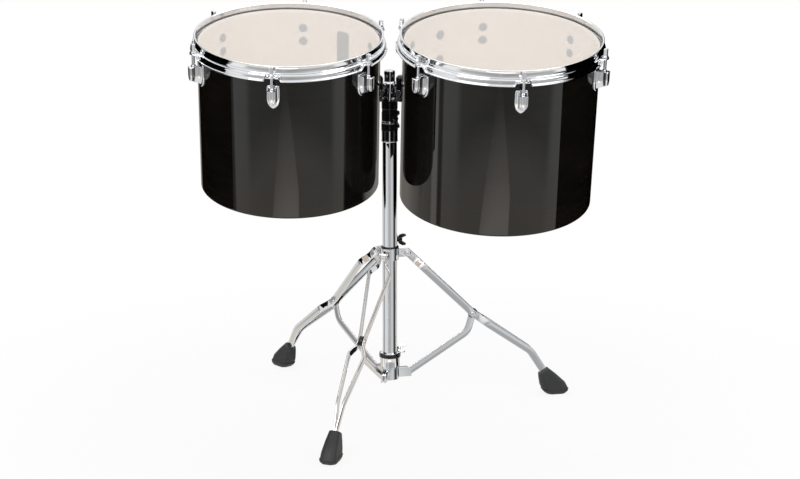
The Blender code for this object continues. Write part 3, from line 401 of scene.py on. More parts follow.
def add_piece(name, bm, slot, body, place=Matrix(), replaced=(), finishes=(), smooth=35.0):
    """Turn a bmesh into a finished piece that rides on its body."""
    bmesh.ops.remove_doubles(bm, verts=bm.verts, dist=0.001 * MM)
    bmesh.ops.recalc_face_normals(bm, faces=bm.faces)
    mesh = bpy.data.meshes.new(name)
    bm.to_mesh(mesh)
    bm.free()
    mesh.transform(place)
    mesh.shade_smooth()
    mesh.set_sharp_from_angle(angle=radians(smooth))
    for finish in finishes or (slot,):
        mesh.materials.append(finish_named(finish))
    piece = bpy.data.objects.new(name, mesh)
    bpy.context.scene.collection.objects.link(piece)
    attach(piece, body)
    if replaced:
        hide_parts(*replaced)
    return piece


def refined(node):
    """A merged copy of a solid with its edges rounded, in place of the node."""
    bm = bmesh.new()
    bm.from_mesh(frame["nodes"][node].data)
    bmesh.ops.remove_doubles(bm, verts=bm.verts, dist=0.002 * MM)
    bmesh.ops.dissolve_limit(bm, angle_limit=radians(0.8), verts=bm.verts, edges=bm.edges)
    for face in bm.faces:
        face.material_index = 0
    piece = add_piece(f"{node}_finished", bm, NODE_SLOT[node], NODE_BODY[node], replaced=[node])
    rounding = piece.modifiers.new("rounding", "BEVEL")
    rounding.width = bpy.context.scene.tom_sizes.edge_round
    rounding.segments = 2
    rounding.limit_method = "ANGLE"
    rounding.angle_limit = radians(38)
    rounding.harden_normals = True
    return piece


def turned_place(azimuth, reach=0.0, height=0.0):
    """A frame turned round Z and carried outwards along its own X."""
    return Matrix.Rotation(azimuth, 4, "Z") @ Matrix.Translation((reach, 0.0, height))


def drum_frame(drum):
    """The frame of a drum: its rim's middle, X towards the first lug and Z up along its axis."""
    joint = JOINTS[f"{drum.side}_drum_turn"]
    up = Vector(joint["axis"])
    if up.z < 0:
        up.negate()
    across = Vector((1, 0, 0))
    tilt = Matrix((across, up.cross(across), up)).transposed().to_4x4()
    out = -(drum.radius + BRACKET_STANDOFF)
    centre = Vector((out * cos(drum.bracket_azimuth), out * sin(drum.bracket_azimuth), BRACKET_DEPTH))
    place = Matrix.Translation(Vector(joint["pos_m"])) @ tilt @ Matrix.Translation(centre)
    return place @ turned_place(drum.lug_azimuth)


def tube_foot():
    """The point of the floor under the stand's tube."""
    low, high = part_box("base_tube")
    middle = (low + high) / 2
    return Vector((middle.x, middle.y, 0.0))


def leg_frame(number):
    """The frame of a leg: the tube's foot, X towards the leg and Z up."""
    return Matrix.Translation(tube_foot()) @ turned_place(FIRST_LEG_AZIMUTH + number * 2 * pi / LEG_COUNT)


def skinned(loops, joined=False):
    """Skin rows of points; the last row meets the first, or both ends are capped."""
    bm = bmesh.new()
    rows = [[bm.verts.new(point) for point in loop] for loop in loops]
    pairs = list(zip(rows, rows[1:])) + ([(rows[-1], rows[0])] if joined else [])
    for low, high in pairs:
        for corners in zip(low, low[1:] + low[:1], high[1:] + high[:1], high):
            bm.faces.new(corners)
    if not joined:
        bm.faces.new(rows[0])
        bm.faces.new(rows[-1])
    return bm


def revolved(section, steps):
    """Turn a closed (radius, height) section round Z; a point on the axis becomes a pole."""
    loops = []
    for step in range(steps):
        turn = 2 * pi * step / steps
        loops.append([(radius * cos(turn), radius * sin(turn), height) for radius, height in section])
    return skinned(loops, joined=True)


def softened(points, radius, pieces=3, closed=True):
    """The points of an outline with each corner rounded by a short curve."""
    result = []
    count = len(points)
    for index in range(count):
        corner = Vector(points[index])
        if not closed and index in (0, count - 1):
            result.append(corner)
            continue
        before = Vector(points[index - 1]) - corner
        after = Vector(points[(index + 1) % count]) - corner
        start = corner + before.normalized() * min(radius, before.length * 0.45)
        end = corner + after.normalized() * min(radius, after.length * 0.45)
        for step in range(pieces + 1):
            share = step / pieces
            result.append(start.lerp(corner, share).lerp(corner.lerp(end, share), share))
    return result


def lathe(profile, radius, steps):
    """Turn a (radius, height) profile from axis to axis round Z, with its corners rounded."""
    return revolved([tuple(point) for point in softened(profile, radius, closed=False)], steps)


def thickened(line, thickness):
    """The closed outline of a sheet whose middle follows a line, with round ends."""
    points = [Vector(point) for point in line]
    runs = [(end - start).normalized() for start, end in zip(points, points[1:])]
    normals = [Vector((-run.y, run.x)) for run in runs]
    offsets = [normals[0]]
    for first, second in zip(normals, normals[1:]):
        middle = (first + second).normalized()
        offsets.append(middle / max(0.5, middle.dot(first)))
    offsets.append(normals[-1])
    half = thickness / 2
    near = [point + offset * half for point, offset in zip(points, offsets)]
    far = [point - offset * half for point, offset in zip(points, offsets)]
    diagonal = half * 0.707

    def nose(point, run, normal):
        return [point + run * diagonal + normal * diagonal, point + run * half,
                point + run * diagonal - normal * diagonal]

    return (near + nose(points[-1], runs[-1], normals[-1]) + far[::-1]
            + nose(points[0], -runs[0], -normals[0]))


def unwrap_round(bm, radius):
    """A UV map in metres: round the drum and along its axis."""
    layer = bm.loops.layers.uv.new("round")
    for face in bm.faces:
        first = None
        for loop in face.loops:
            point = loop.vert.co
            turn = atan2(point.y, point.x)
            if first is None:
                first = turn
            turn += 2 * pi * round((first - turn) / (2 * pi))
            loop[layer].uv = (turn * radius, point.z)


class TOM_OT_shells(bpy.types.Operator):
    """Lacquered shells with bevelled edges and pale wood inside"""
    bl_idname = "tom.shells"
    bl_label = "Shells"

    def execute(self, context):
        for drum in DRUMS:
            top = -RIM_ABOVE_EDGE
            bottom = top - drum.depth
            inner = drum.radius - SHELL_WALL
            outline = [(drum.radius, bottom), (drum.radius, bottom + 4 * MM), (drum.radius, top - 7 * MM),
                       (drum.radius, top - 3 * MM), (drum.radius - 1.6 * MM, top), (drum.radius - 2.4 * MM, top),
                       (inner, top - 3.6 * MM), (inner, top - 8 * MM), (inner, bottom + 4 * MM), (inner, bottom)]
            section = [tuple(point) for point in softened(outline, 1.1 * MM)]
            bm = revolved(section, context.scene.tom_sizes.shell_steps)
            unwrap_round(bm, drum.radius)
            for face in bm.faces:
                centre = face.calc_center_median()
                if hypot(centre.x, centre.y) < drum.radius - 2.0 * MM:
                    face.material_index = 1
            add_piece(f"{drum.side}_shell_finished", bm, "black_lacquer", f"{drum.side}_drum",
                      drum_frame(drum), [f"{drum.side}_shell"], ("black_lacquer", "pale_wood"), 60.0)
        return {"FINISHED"}


class TOM_OT_heads(bpy.types.Operator):
    """Films with their collars and flesh hoops"""
    bl_idname = "tom.heads"
    bl_label = "Heads"

    def execute(self, context):
        sizes = context.scene.tom_sizes
        for drum in DRUMS:
            radius = drum.radius
            place = drum_frame(drum)
            body = f"{drum.side}_drum"
            level = 0.45 * MM - RIM_ABOVE_EDGE
            hoop_top = -TAB_LEVEL - 1.6 * MM
            line = [(0.0, level), (radius - 8 * MM, level), (radius - 1.5 * MM, level),
                    (radius + 0.75 * MM, level - 3.6 * MM),
                    (radius + 0.9 * MM, hoop_top - 1.0 * MM)]
            curve = softened(line, 2.2 * MM, 5, False)
            low = [tuple(point) for point in curve]
            high = [(point.x, point.y + sizes.film_thickness) for point in curve]
            bm = revolved(low + high[::-1], sizes.shell_steps)
            add_piece(f"{drum.side}_film", bm, "cream_film", body, place, [f"{drum.side}_head"], smooth=50.0)
            ring = [(radius + 1.2 * MM, hoop_top), (radius + 5.2 * MM, hoop_top),
                    (radius + 5.2 * MM, hoop_top - 6.6 * MM), (radius + 1.2 * MM, hoop_top - 6.6 * MM)]
            section = [tuple(point) for point in softened(ring, 1.0 * MM)]
            add_piece(f"{drum.side}_flesh_hoop", revolved(section, sizes.shell_steps), "chrome", body, place)
        return {"FINISHED"}


class TOM_OT_hoops(bpy.types.Operator):
    """Pressed triple-flange hoops with their tabs"""
    bl_idname = "tom.hoops"
    bl_label = "Hoops"

    # The middle of the sheet, in mm outside the shell and below the rim
    BAND = [(4.6, -1.2), (3.3, -2.0), (3.1, -4.5), (3.2, -9.0), (3.4, -14.2), (4.8, -15.4), (6.6, -15.8)]
    SKIRT = [(7.8, -17.2), (8.0, -19.5), (8.0, -22.0), (8.2, -24.2), (9.2, -25.6), (11.0, -26.2)]

    def execute(self, context):
        for drum in DRUMS:
            add_piece(f"{drum.side}_hoop_finished", self.pressed(drum, context.scene.tom_sizes), "chrome",
                      f"{drum.side}_drum", drum_frame(drum), [f"{drum.side}_hoop"], smooth=50.0)
        return {"FINISHED"}

    def pressed(self, drum, sizes):
        """One hoop as a sheet whose section opens into a tab over each lug."""
        circle = drum.radius + ROD_OFFSET
        pitch = 2 * pi / LUG_COUNT
        spread = (TAB_HALF_WIDTH + TAB_FLARE) / circle
        tab_steps = 30
        offsets = [-spread + 2 * spread * step / tab_steps for step in range(tab_steps + 1)]
        rest = pitch - 2 * spread
        offsets += [spread + rest * step / sizes.hoop_steps for step in range(1, sizes.hoop_steps)]
        loops = []
        for number in range(LUG_COUNT):
            for offset in offsets:
                turn = number * pitch + offset
                line = self.section(abs(offset) * circle, sizes.hoop_sheet / 2)
                outline = thickened([(x * MM, y * MM) for x, y in line], sizes.hoop_sheet)
                loops.append([((drum.radius + point.x) * cos(turn), (drum.radius + point.x) * sin(turn), point.y)
                              for point in outline])
        return skinned(loops, joined=True)

    def section(self, across, end):
        """The middle line of the sheet at a distance from a lug's middle."""
        half = TAB_HALF_WIDTH
        shrink = 6.0 * min(1.0, across / half) ** 2.5
        reach = (TAB_REACH - end) / MM - shrink
        start = self.BAND[-1][0]
        count = len(self.SKIRT)
        tab = [(start + (reach - start) * (step + 1) / count, -TAB_LEVEL / MM) for step in range(count)]
        share = min(1.0, max(0.0, (across - half) / TAB_FLARE))
        share = share * share * (3 - 2 * share)
        return self.BAND + [(a[0] + (b[0] - a[0]) * share, a[1] + (b[1] - a[1]) * share)
                            for a, b in zip(tab, self.SKIRT)]


def row_tree():
    """Geometry Nodes: copies of one fitting set evenly round a circle."""
    tree = bpy.data.node_groups.new("fittings_round_a_circle", "GeometryNodeTree")
    face = tree.interface
    face.new_socket("Geometry", in_out="INPUT", socket_type="NodeSocketGeometry")
    face.new_socket("Count", in_out="INPUT", socket_type="NodeSocketInt")
    face.new_socket("Radius", in_out="INPUT", socket_type="NodeSocketFloat")
    face.new_socket("Height", in_out="INPUT", socket_type="NodeSocketFloat")
    face.new_socket("Finish", in_out="INPUT", socket_type="NodeSocketMaterial")
    face.new_socket("Geometry", in_out="OUTPUT", socket_type="NodeSocketGeometry")

    def node(kind, **settings):
        made = tree.nodes.new(kind)
        for name, value in settings.items():
            setattr(made, name, value)
        return made

    start = node("NodeGroupInput")
    end = node("NodeGroupOutput")
    circle = node("GeometryNodeMeshCircle")
    shift = node("GeometryNodeTransform")
    raised = node("ShaderNodeCombineXYZ")
    position = node("GeometryNodeInputPosition")
    flat = node("ShaderNodeVectorMath", operation="MULTIPLY")
    flat.inputs[1].default_value = (1.0, 1.0, 0.0)
    aim = node("FunctionNodeAlignRotationToVector", axis="X")
    copies = node("GeometryNodeInstanceOnPoints")
    real = node("GeometryNodeRealizeInstances")
    paint = node("GeometryNodeSetMaterial")
    link = tree.links.new
    link(start.outputs["Count"], circle.inputs["Vertices"])
    link(start.outputs["Radius"], circle.inputs["Radius"])
    link(circle.outputs["Mesh"], shift.inputs["Geometry"])
    link(start.outputs["Height"], raised.inputs["Z"])
    link(raised.outputs[0], shift.inputs["Translation"])
    link(shift.outputs["Geometry"], copies.inputs["Points"])
    link(position.outputs[0], flat.inputs[0])
    link(flat.outputs[0], aim.inputs["Vector"])
    link(aim.outputs[0], copies.inputs["Rotation"])
    link(start.outputs["Geometry"], copies.inputs["Instance"])
    link(copies.outputs[0], real.inputs[0])
    link(real.outputs[0], paint.inputs["Geometry"])
    link(start.outputs["Finish"], paint.inputs["Material"])
    link(paint.outputs[0], end.inputs[0])
    return tree


def round_a_circle(name, bm, count, radius, height, finish):
    """Run the tree on one fitting and return the row of copies as a plain bmesh."""
    tree = bpy.data.node_groups.get("fittings_round_a_circle") or row_tree()
    bmesh.ops.recalc_face_normals(bm, faces=bm.faces)
    mesh = bpy.data.meshes.new(name)
    bm.to_mesh(mesh)
    bm.free()
    host = bpy.data.objects.new(name, mesh)
    bpy.context.scene.collection.objects.link(host)
    modifier = host.modifiers.new("copies", "NODES")
    modifier.node_group = tree
    wanted = {"Count": count, "Radius": radius, "Height": height, "Finish": finish_named(finish)}
    for item in tree.interface.items_tree:
        if item.in_out == "INPUT" and item.name in wanted:
            modifier[item.identifier] = wanted[item.name]
    host.update_tag()
    bpy.context.view_layer.update()
    result = bpy.data.meshes.new_from_object(host.evaluated_get(bpy.context.evaluated_depsgraph_get()))
    bpy.data.objects.remove(host, do_unlink=True)
    row = bmesh.new()
    row.from_mesh(result)
    for face in row.faces:
        face.material_index = 0
    return row


def merged(*parts):
    """Several bmeshes in one."""
    whole = bmesh.new()
    for part in parts:
        bmesh.ops.remove_doubles(part, verts=part.verts, dist=0.001 * MM)
        bmesh.ops.recalc_face_normals(part, faces=part.faces)
        mesh = bpy.data.meshes.new("part")
        part.to_mesh(mesh)
        part.free()
        whole.from_mesh(mesh)
        bpy.data.meshes.remove(mesh)
    return whole


def moved(bm, place):
    """A bmesh after a move."""
    bmesh.ops.transform(bm, matrix=place, verts=bm.verts)
    return bm


def bent_plate(outline, layers, radius):
    """A plate bent round the drum's axis; each layer is a rise off the wall and an inset of the outline."""
    levels = [level for across, level in outline]
    middle = (min(levels) + max(levels)) / 2
    half_height = (max(levels) - min(levels)) / 2
    half_width = max(across for across, level in outline)
    loops = []
    for rise, inset in layers:
        loop = []
        for across, level in outline:
            side = across * (1 - inset / half_width)
            sag = (radius ** 2 - side ** 2) ** 0.5 - radius
            loop.append((rise + sag, side, middle + (level - middle) * (1 - inset / half_height)))
        loops.append(loop)
    return skinned(loops)


def mirrored(half):
    """A closed outline from its right half, whose ends lie on the middle line."""
    return half + [(-across, level) for across, level in half[-2:0:-1]]


class TOM_OT_lugs(bpy.types.Operator):
    """Bullet lugs on their bent plates"""
    bl_idname = "tom.lugs"
    bl_label = "Lugs"

    # The right half of the body's section, in mm off the shell and across
    SECTION = [(0.8, 8.6), (3.0, 8.5), (4.6, 6.8), (6.5, 5.6), (9.0, 5.1), (14.5, 5.1), (16.5, 5.5),
               (18.2, 6.4), (19.6, 7.3), (20.4, 7.5), (22.2, 7.5), (23.1, 7.1), (23.6, 6.3), (23.6, 5.3),
               (22.8, 4.6), (22.8, 4.0), (23.7, 3.3), (24.0, 2.4)]
    STRAIGHT = 0.55
    ROWS = (0.0, 0.012, 0.03, 0.2, 0.4, 0.55, 0.63, 0.70, 0.76, 0.82, 0.87, 0.91, 0.945, 0.97, 0.985, 0.995)

    def execute(self, context):
        for drum in DRUMS:
            lug = merged(self.plate(drum.radius), self.body(), self.nut())
            row = round_a_circle(f"{drum.side}_lug_row", lug, LUG_COUNT, drum.radius, 0.0, "chrome")
            replaced = [f"{drum.side}_lug_{number + 1}" for number in range(LUG_COUNT)]
            add_piece(f"{drum.side}_lugs", row, "chrome", f"{drum.side}_drum", drum_frame(drum), replaced)
        return {"FINISHED"}

    def plate(self, radius):
        """The plate that the body stands on."""
        wide = PLATE_HALF_WIDTH
        half = [(0.0, -PLATE_TOP), (wide * 0.9, -PLATE_TOP), (wide, -PLATE_TOP - 4 * MM),
                (wide, -PLATE_BOTTOM + 17 * MM), (wide * 0.75, -PLATE_BOTTOM + 7 * MM), (0.0, -PLATE_BOTTOM)]
        outline = [tuple(point) for point in softened(mirrored(half), 4 * MM, 4)]
        layers = [(0.15 * MM, 0.0), (1.4 * MM, 0.0), (2.3 * MM, 0.4 * MM), (2.8 * MM, 1.1 * MM), (3.0 * MM, 2.0 * MM)]
        return bent_plate(outline, layers, radius)

    def body(self):
        """The bullet, straight for a while and then drawn in to its tip."""
        half = [(x * MM, y * MM) for x, y in self.SECTION]
        section = half + [(x, -y) for x, y in reversed(half)]
        loops = []
        for share in self.ROWS:
            taper = max(0.0, (share - self.STRAIGHT) / (1 - self.STRAIGHT))
            swell = (1 - taper ** 2) ** 0.5
            rim = 0.5 * MM * max(0.0, 1 - share / 0.012)
            loop = []
            for x, y in section:
                end = LUG_HEEL + (LUG_TIP - LUG_HEEL) * x / LUG_REACH
                out = x - (rim if x > 3 * MM else 0.0) - 0.8 * MM * (1 - swell)
                side = y * swell - rim * (1 if y > 0 else -1)
                loop.append((max(0.3 * MM, out), side, -LUG_TOP - (end - LUG_TOP) * share))
            loops.append(loop)
        return skinned(loops)

    def nut(self):
        """The swivel nut's collar, which stands out of the body round the rod."""
        bore = KEY_ROD_RADIUS + 0.1 * MM
        section = [(bore, -36.8 * MM), (3.6 * MM, -36.8 * MM), (4.3 * MM, -37.8 * MM), (4.5 * MM, -41.5 * MM),
                   (bore, -41.5 * MM)]
        return moved(revolved(section, 24), Matrix.Translation((ROD_OFFSET, 0, 0)))


class TOM_OT_backing(bpy.types.Operator):
    """Washers and plates inside the shells, under the screws of lugs and brackets"""
    bl_idname = "tom.backing"
    bl_label = "Backing"

    def execute(self, context):
        for drum in DRUMS:
            inner = drum.radius - SHELL_WALL - 0.1 * MM
            place = drum_frame(drum)
            for row, level in enumerate(LUG_SCREW_LEVELS):
                washer = self.washer(context.scene.tom_sizes.washer_radius)
                bm = round_a_circle("washers", washer, LUG_COUNT, inner, -level, "dull_steel")
                add_piece(f"{drum.side}_washers_{row + 1}", bm, "chrome", f"{drum.side}_drum", place,
                          finishes=("dull_steel",))
        self.plate(DRUMS[0])
        self.bracket_washers(DRUMS[1], context.scene.tom_sizes.washer_radius * 1.12)
        return {"FINISHED"}

    def bracket_washers(self, drum, radius):
        """Two larger washers behind the larger drum's bracket."""
        spot = drum_frame(drum) @ turned_place(drum.bracket_azimuth - drum.lug_azimuth,
                                               drum.radius - SHELL_WALL - 0.1 * MM)
        for row, level in enumerate(BRACKET_SCREW_LEVELS):
            add_piece(f"{drum.side}_bracket_washer_{row + 1}", self.washer(radius), "chrome", f"{drum.side}_drum",
                      spot @ Matrix.Translation((0, 0, -level)), finishes=("dull_steel",))

    def washer(self, radius):
        """A domed washer with its screw head, on a wall at X 0 and standing inwards."""
        bolt = radius * 0.5
        profile = [(0.0, 0.0), (radius, 0.0), (radius, 1.0 * MM), (bolt, 1.6 * MM), (bolt, 3.2 * MM),
                   (bolt * 0.6, 4.4 * MM), (0.0, 4.6 * MM)]
        return moved(lathe(profile, 0.5 * MM, 28), Matrix.Rotation(radians(-90), 4, "Y"))

    def plate(self, drum):
        """The long backing plate behind the smaller drum's bracket."""
        half_width = 13.0 * MM
        top, bottom = -43.0 * MM, -105.0 * MM
        half = [(0.0, top), (half_width, top), (half_width, bottom), (0.0, bottom)]
        outline = [tuple(point) for point in softened(mirrored(half), 3 * MM, 4)]
        inner = drum.radius - SHELL_WALL - 0.2 * MM
        bm = bent_plate(outline, [(0.0, 0.0), (-1.6 * MM, 0.0), (-2.2 * MM, 0.6 * MM)], inner)
        add_piece(f"{drum.side}_backing_plate", bm, "chrome", f"{drum.side}_drum",
                  drum_frame(drum) @ turned_place(drum.bracket_azimuth - drum.lug_azimuth, inner),
                  finishes=("dull_steel",))


class TOM_OT_key_rods(bpy.types.Operator):
    """Key rods with their square heads and washers"""
    bl_idname = "tom.key_rods"
    bl_label = "Key rods"

    # Half the size, the level and the squareness of each ring of points, in mm
    RINGS = ((1.8, -61.0, 0), (2.8, -60.2, 0), (2.8, -14.5, 0), (5.9, -14.5, 0), (6.25, -14.2, 0),
             (6.25, -13.2, 0), (5.9, -12.9, 0), (5.3, -12.9, 0), (5.4, -12.6, 0), (5.3, -11.2, 0), (4.9, -10.8, 0),
             (3.6, -10.8, 1), (3.5, -10.5, 1), (3.5, 0.6, 1), (3.3, 1.4, 1), (2.6, 2.0, 1))

    def execute(self, context):
        for drum in DRUMS:
            for number in range(LUG_COUNT):
                place = drum_frame(drum) @ turned_place(number * 2 * pi / LUG_COUNT, drum.radius + ROD_OFFSET)
                add_piece(f"{drum.side}_key_rod_{number + 1}", self.rod(), "chrome",
                          f"{drum.side}_key_{number + 1}", place, [f"{drum.side}_tension_rod_{number + 1}"])
        return {"FINISHED"}

    def rod(self):
        """One rod along Z; its level 0 is the rim's."""
        steps = 40
        loops = []
        for size, level, square in self.RINGS:
            loop = []
            for step in range(steps):
                turn = 2 * pi * step / steps
                power = 7 if square else 2
                reach = size * MM / (abs(cos(turn)) ** power + abs(sin(turn)) ** power) ** (1 / power)
                loop.append((reach * cos(turn), reach * sin(turn), level * MM))
            loops.append(loop)
        return skinned(loops)


class TOM_OT_holder(bpy.types.Operator):
    """Holder post, tilters, L-rods, memory locks, brackets and their wing bolts"""
    bl_idname = "tom.holder"
    bl_label = "Holder"

    def execute(self, context):
        refined("holder_post")
        self.cap_slots()
        for drum in DRUMS:
            self.tilter(drum, context.scene.tom_sizes.tube_steps)
            for part in ("tilter_wing_bolt", "l_rod", "memory_lock", "mount_bracket", "bracket_wing_bolt"):
                refined(f"{drum.side}_{part}")
        return {"FINISHED"}

    def cap_slots(self):
        """Dark windows round the cap."""
        bm = bmesh.new()
        bmesh.ops.create_cube(bm, size=1.0)
        moved(bm, Matrix.Diagonal((1.0 * MM, 4.6 * MM, 4.2 * MM, 1.0)))
        bmesh.ops.bevel(bm, geom=list(bm.edges), offset=0.3 * MM, segments=2, affect="EDGES")
        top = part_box("holder_post")[1].z
        row = round_a_circle("cap_windows", bm, 8, CAP_RADIUS - 0.35 * MM, top - 5.4 * MM, "black_plastic")
        add_piece("cap_windows", row, "black_plastic", "holder",
                  Matrix.Translation(tube_foot()) @ turned_place(radians(-90 + 22.5)))

    def tilter(self, drum, steps):
        """One block that grips an L-rod."""
        radius, height = TILTER_RADIUS, TILTER_HEIGHT
        groove = 0.7 * MM
        profile = [(0, 0), (radius - 1.5 * MM, 0), (radius, 1.5 * MM), (radius, height * 0.36),
                   (radius - groove, height * 0.36 + groove), (radius, height * 0.36 + 2 * groove),
                   (radius, height - 5 * MM), (radius - 4 * MM, height), (0, height)]
        place = Matrix.Translation(Vector(JOINTS[f"{drum.side}_swing"]["pos_m"]))
        add_piece(f"{drum.side}_tilter_finished", lathe(profile, 0.8 * MM, steps), "black_plastic",
                  f"{drum.side}_tilter", place, [f"{drum.side}_tilter"])


def plane(point):
    """A (distance, height) pair of a leg's upright plane as a 3-D point."""
    return Vector((point[0], 0.0, point[1]))


def rounded_path(corners, radius, pieces=12):
    """The points of a line through corners whose inner ones are arcs of one radius."""
    path = [corners[0]]
    for before, corner, after in zip(corners, corners[1:], corners[2:]):
        arriving = (corner - before).normalized()
        leaving = (after - corner).normalized()
        turn = arriving.angle(leaving)
        centre = corner + (leaving - arriving).normalized() * radius / cos(turn / 2)
        arm = corner - arriving * radius * tan(turn / 2) - centre
        axis = arriving.cross(leaving)
        path += [centre + Quaternion(axis, turn * step / pieces) @ arm for step in range(pieces + 1)]
    return path + [corners[-1]]


def path_length(path):
    """The length of a path."""
    return sum((end - start).length for start, end in zip(path, path[1:]))


def walk(path, distance):
    """The point at a distance along a path, carried on straight past its ends."""
    left = distance
    for start, end in zip(path, path[1:]):
        length = (end - start).length
        if left <= length:
            break
        left -= length
    else:
        left += length
    return start + (end - start).normalized() * left


def rounded_rectangle(half_width, half_height, corner, pieces=3):
    """The outline of a rectangle with round corners."""
    points = []
    for start, x, y in ((0, 1, 1), (90, -1, 1), (180, -1, -1), (270, 1, -1)):
        for step in range(pieces + 1):
            turn = radians(start + 90 * step / pieces)
            points.append((x * (half_width - corner) + corner * cos(turn),
                           y * (half_height - corner) + corner * sin(turn)))
    return points


def cut_rectangle(half_length, half_width, cut):
    """The outline of a rectangle with cut and softened corners."""
    corner = [(half_length, cut - half_width), (half_length, half_width - cut), (half_length - cut, half_width)]
    points = corner + [(cut - half_length, half_width)] + [(-x, -y) for x, y in corner] + [
        (half_length - cut, -half_width)]
    return [tuple(point) for point in softened(points, cut * 0.5, 3)]


def flat_bar(path, spreads, side, first, last, round_end):
    """A flat bar on edge along a path, with soft bends between its sideways spreads."""
    bend = 5.0 * MM
    nudge = 0.5 * MM

    def offset(distance):
        for (near, low), (far, high) in zip(spreads, spreads[1:]):
            if distance <= far:
                share = max(0.0, (distance - near) / (far - near))
                return low + (high - low) * share
        return spreads[-1][1]

    def centre(distance):
        spread = sum(offset(distance + bend * share) for share in (-1, -0.5, 0, 0.5, 1)) / 5
        return walk(path, distance) + Vector((0, side * spread, 0))

    half = STRIP_WIDTH / 2
    steps = round((last - first) / (3.5 * MM))
    distances = [first + (last - first) * step / steps for step in range(steps + 1)]
    if round_end:
        arc = [first + half * (1 - cos(radians(15 * step))) for step in range(1, 6)]
        distances = [first + 0.05 * MM] + arc + [distance for distance in distances if distance > arc[-1]]
    loops = []
    for distance in distances:
        point = centre(distance)
        run = (centre(distance + nudge) - centre(distance - nudge)).normalized()
        across = Vector((-run.z, 0.0, run.x)).normalized()
        flat = run.cross(across)
        wide = half
        if round_end and distance < first + half:
            wide = max(1.2 * MM, (half ** 2 - (first + half - distance) ** 2) ** 0.5)
        outline = rounded_rectangle(wide, STRIP_THICKNESS / 2, 0.9 * MM)
        loops.append([point + across * u + flat * v for u, v in outline])
    return skinned(loops)


def pin(point, half, steps):
    """A rivet through a leg's bars: a shank with a domed head at each end."""
    head = 5.2 * MM
    profile = [(0.0, half + 1.7 * MM), (head * 0.45, half + 1.6 * MM), (head * 0.85, half + 1.0 * MM),
               (head, half + 0.3 * MM), (head, half - 0.3 * MM), (3.0 * MM, half - 0.4 * MM)]
    profile += [(radius, -height) for radius, height in reversed(profile)]
    upright = Matrix.Rotation(radians(90), 4, "X")
    return moved(revolved(profile, steps), Matrix.Translation(plane(point)) @ upright)


